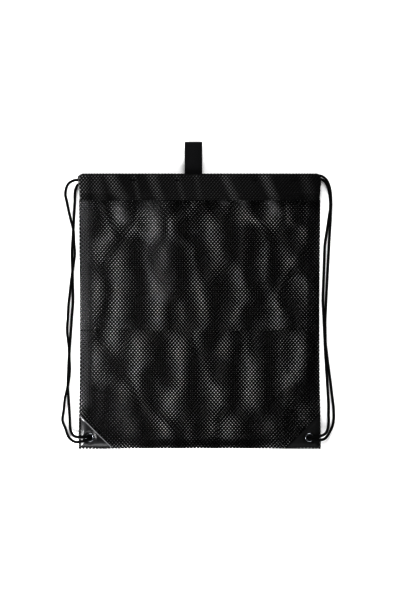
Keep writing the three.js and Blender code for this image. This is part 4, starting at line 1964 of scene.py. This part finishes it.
@dataclass
class Studio:
    """White paper, soft light from the left and a camera straight above."""

    kit: Kit
    distance: float = 2400.0
    centre: tuple[float, float] = (1.2, -7.7)
    span: float = 873.6
    sensor: float = 36.0
    far: float = 20.0
    contrast: float = 0.59
    paper_edge: float = 3000.0
    paper_top: float = -0.2
    room: float = 0.5
    lamps: tuple[Lamp, ...] = (
        Lamp("key_left", (-0.6, -0.38, 0.5), 0.3, 6.7),
        Lamp("fill_back", (0.15, 1.5, 1.2), 1.2, 42.0),
        Lamp("fill_front", (0.15, -1.5, 1.2), 1.2, 22.0),
    )

    def camera(self) -> None:
        """Sets the camera straight above the bag, its long side up."""
        data = bpy.data.cameras.new("camera")
        data.sensor_width = self.sensor
        data.lens = self.sensor * self.distance / self.span
        data.clip_end = self.far
        camera = linked("camera", data)
        camera.location = (self.centre[0] * MM, self.centre[1] * MM, self.distance * MM)
        bpy.context.scene.camera = camera

    def build(self) -> None:
        """Lays the paper and sets the lights."""
        edge, top = self.paper_edge, self.paper_top
        points = np.array([[-edge, -edge, top], [edge, -edge, top], [edge, edge, top], [-edge, edge, top]])
        floor = mesh_piece("paper", points, [[0, 1, 2, 3]], smooth=False)
        floor.data.materials.append(self.kit.paper)
        world = bpy.data.worlds.new("soft_room")
        world.use_nodes = True
        sky = world.node_tree.nodes["Background"]
        sky.inputs["Color"].default_value = linear("#ffffff")
        sky.inputs["Strength"].default_value = self.room
        bpy.context.scene.world = world
        bpy.context.scene.view_settings.view_transform = "Standard"
        bpy.context.scene.view_settings.gamma = self.contrast
        for lamp in self.lamps:
            lamp.build()


LEFT_ROUTE = (
    (-157.7, -207.4, 11.0), (-157.9, -207.4, 16.6), (-162.6, -208.6, 21.4), (-172.0, -211.4, 20.0),
    (-181.6, -211.6, 12.4), (-190.6, -205.0, 3.6), (-199.2, -182.0, 2.1), (-195.4, -150.0, 5.0),
    (-191.1, -131.0, 6.2), (-188.4, -110.0, 6.2), (-189.6, -76.0, 6.2), (-192.4, -52.0, 3.0),
    (-190.2, -12.0, 2.8), (-185.6, 26.0, 5.9), (-181.0, 60.0, 6.0), (-183.4, 96.0, 6.2),
    (-190.2, 123.0, 3.4), (-194.9, 147.0, 4.6), (-190.6, 160.4, 10.2), (-181.4, 165.8, 14.8),
    (-169.6, 166.0, 15.3), (167.8, 165.0, 15.3), (172.1, 163.6, 13.5), (173.8, 160.5, 9.2),
    (172.1, 157.4, 4.9), (167.8, 156.0, 3.1), (-169.6, 161.0, 3.1), (-176.6, 160.2, 2.9),
    (-180.4, 153.0, 2.2), (-183.6, 95.0, 2.1), (-185.4, 62.0, 2.1), (-184.0, -8.0, 2.1),
    (-190.2, -95.0, 2.1), (-191.6, -132.0, 2.1), (-187.6, -195.0, 3.2), (-182.4, -203.0, 11.8),
    (-173.8, -204.8, 19.2), (-164.4, -204.2, 21.6), (-157.9, -203.6, 16.6), (-157.7, -203.6, 11.0),
)

RIGHT_ROUTE = (
    (157.7, -207.4, 11.0), (157.9, -207.4, 16.6), (162.6, -207.9, 21.4), (172.0, -208.8, 20.0),
    (180.8, -207.4, 13.2), (187.4, -200.4, 5.2), (193.8, -186.0, 2.3), (194.4, -165.0, 2.1),
    (190.2, -129.0, 2.6), (185.4, -95.0, 5.6), (182.4, -70.0, 6.2), (181.8, -38.0, 6.2),
    (185.4, 30.0, 2.2), (189.4, 106.0, 6.0), (190.4, 134.0, 6.6), (188.6, 154.0, 8.8),
    (183.4, 166.4, 12.4), (176.0, 172.0, 14.8), (169.6, 172.6, 15.3), (-169.6, 172.6, 15.3),
    (-173.4, 171.7, 13.5), (-174.8, 169.6, 9.2), (-173.4, 167.5, 4.9), (-169.6, 166.6, 3.1),
    (169.6, 169.5, 3.1), (176.4, 168.6, 2.9), (183.6, 162.6, 2.2), (188.4, 148.0, 2.1),
    (189.8, 128.0, 2.1), (186.0, 101.0, 2.1), (181.8, 74.0, 2.1), (178.9, -6.0, 2.1),
    (182.2, -78.0, 2.1), (187.2, -158.0, 2.1), (187.0, -188.0, 2.7), (183.0, -199.0, 10.8),
    (173.8, -203.2, 19.2), (164.4, -203.9, 21.6), (157.9, -203.6, 16.6), (157.7, -203.6, 11.0),
)


def main() -> None:
    """Builds the whole backpack on its frame."""
    logging.basicConfig(level=logging.INFO, format="%(name)s %(message)s")
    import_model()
    shape = BagShape()
    kit = Kit()
    studio = Studio(kit)
    studio.camera()
    for side, word, route in ((-1, "left", LEFT_ROUTE), (1, "right", RIGHT_ROUTE)):
        knot = Knot(shape, side, kit.cord).build()
        Drawcord(word, route, kit.cord).build(knot)
    weaver = Weaver(shape)
    panels = Panels(shape, weaver, kit)
    panels.build()
    Casings(shape, weaver, kit, panels.front, panels.back).build()
    Seams(shape, weaver, kit).build()
    Sewing(shape, panels, kit).build()
    # The left patch takes the lit copy of the leather, the right patch the shaded copy.
    for side, leather in ((-1, kit.leather_lit), (1, kit.leather_shaded)):
        Patch(shape, side, leather).build()
        Eyelet(shape, side, kit.nickel).build()
    HangingLoop(shape, kit.tape).build()
    studio.build()


if __name__ == "__main__":
    main()
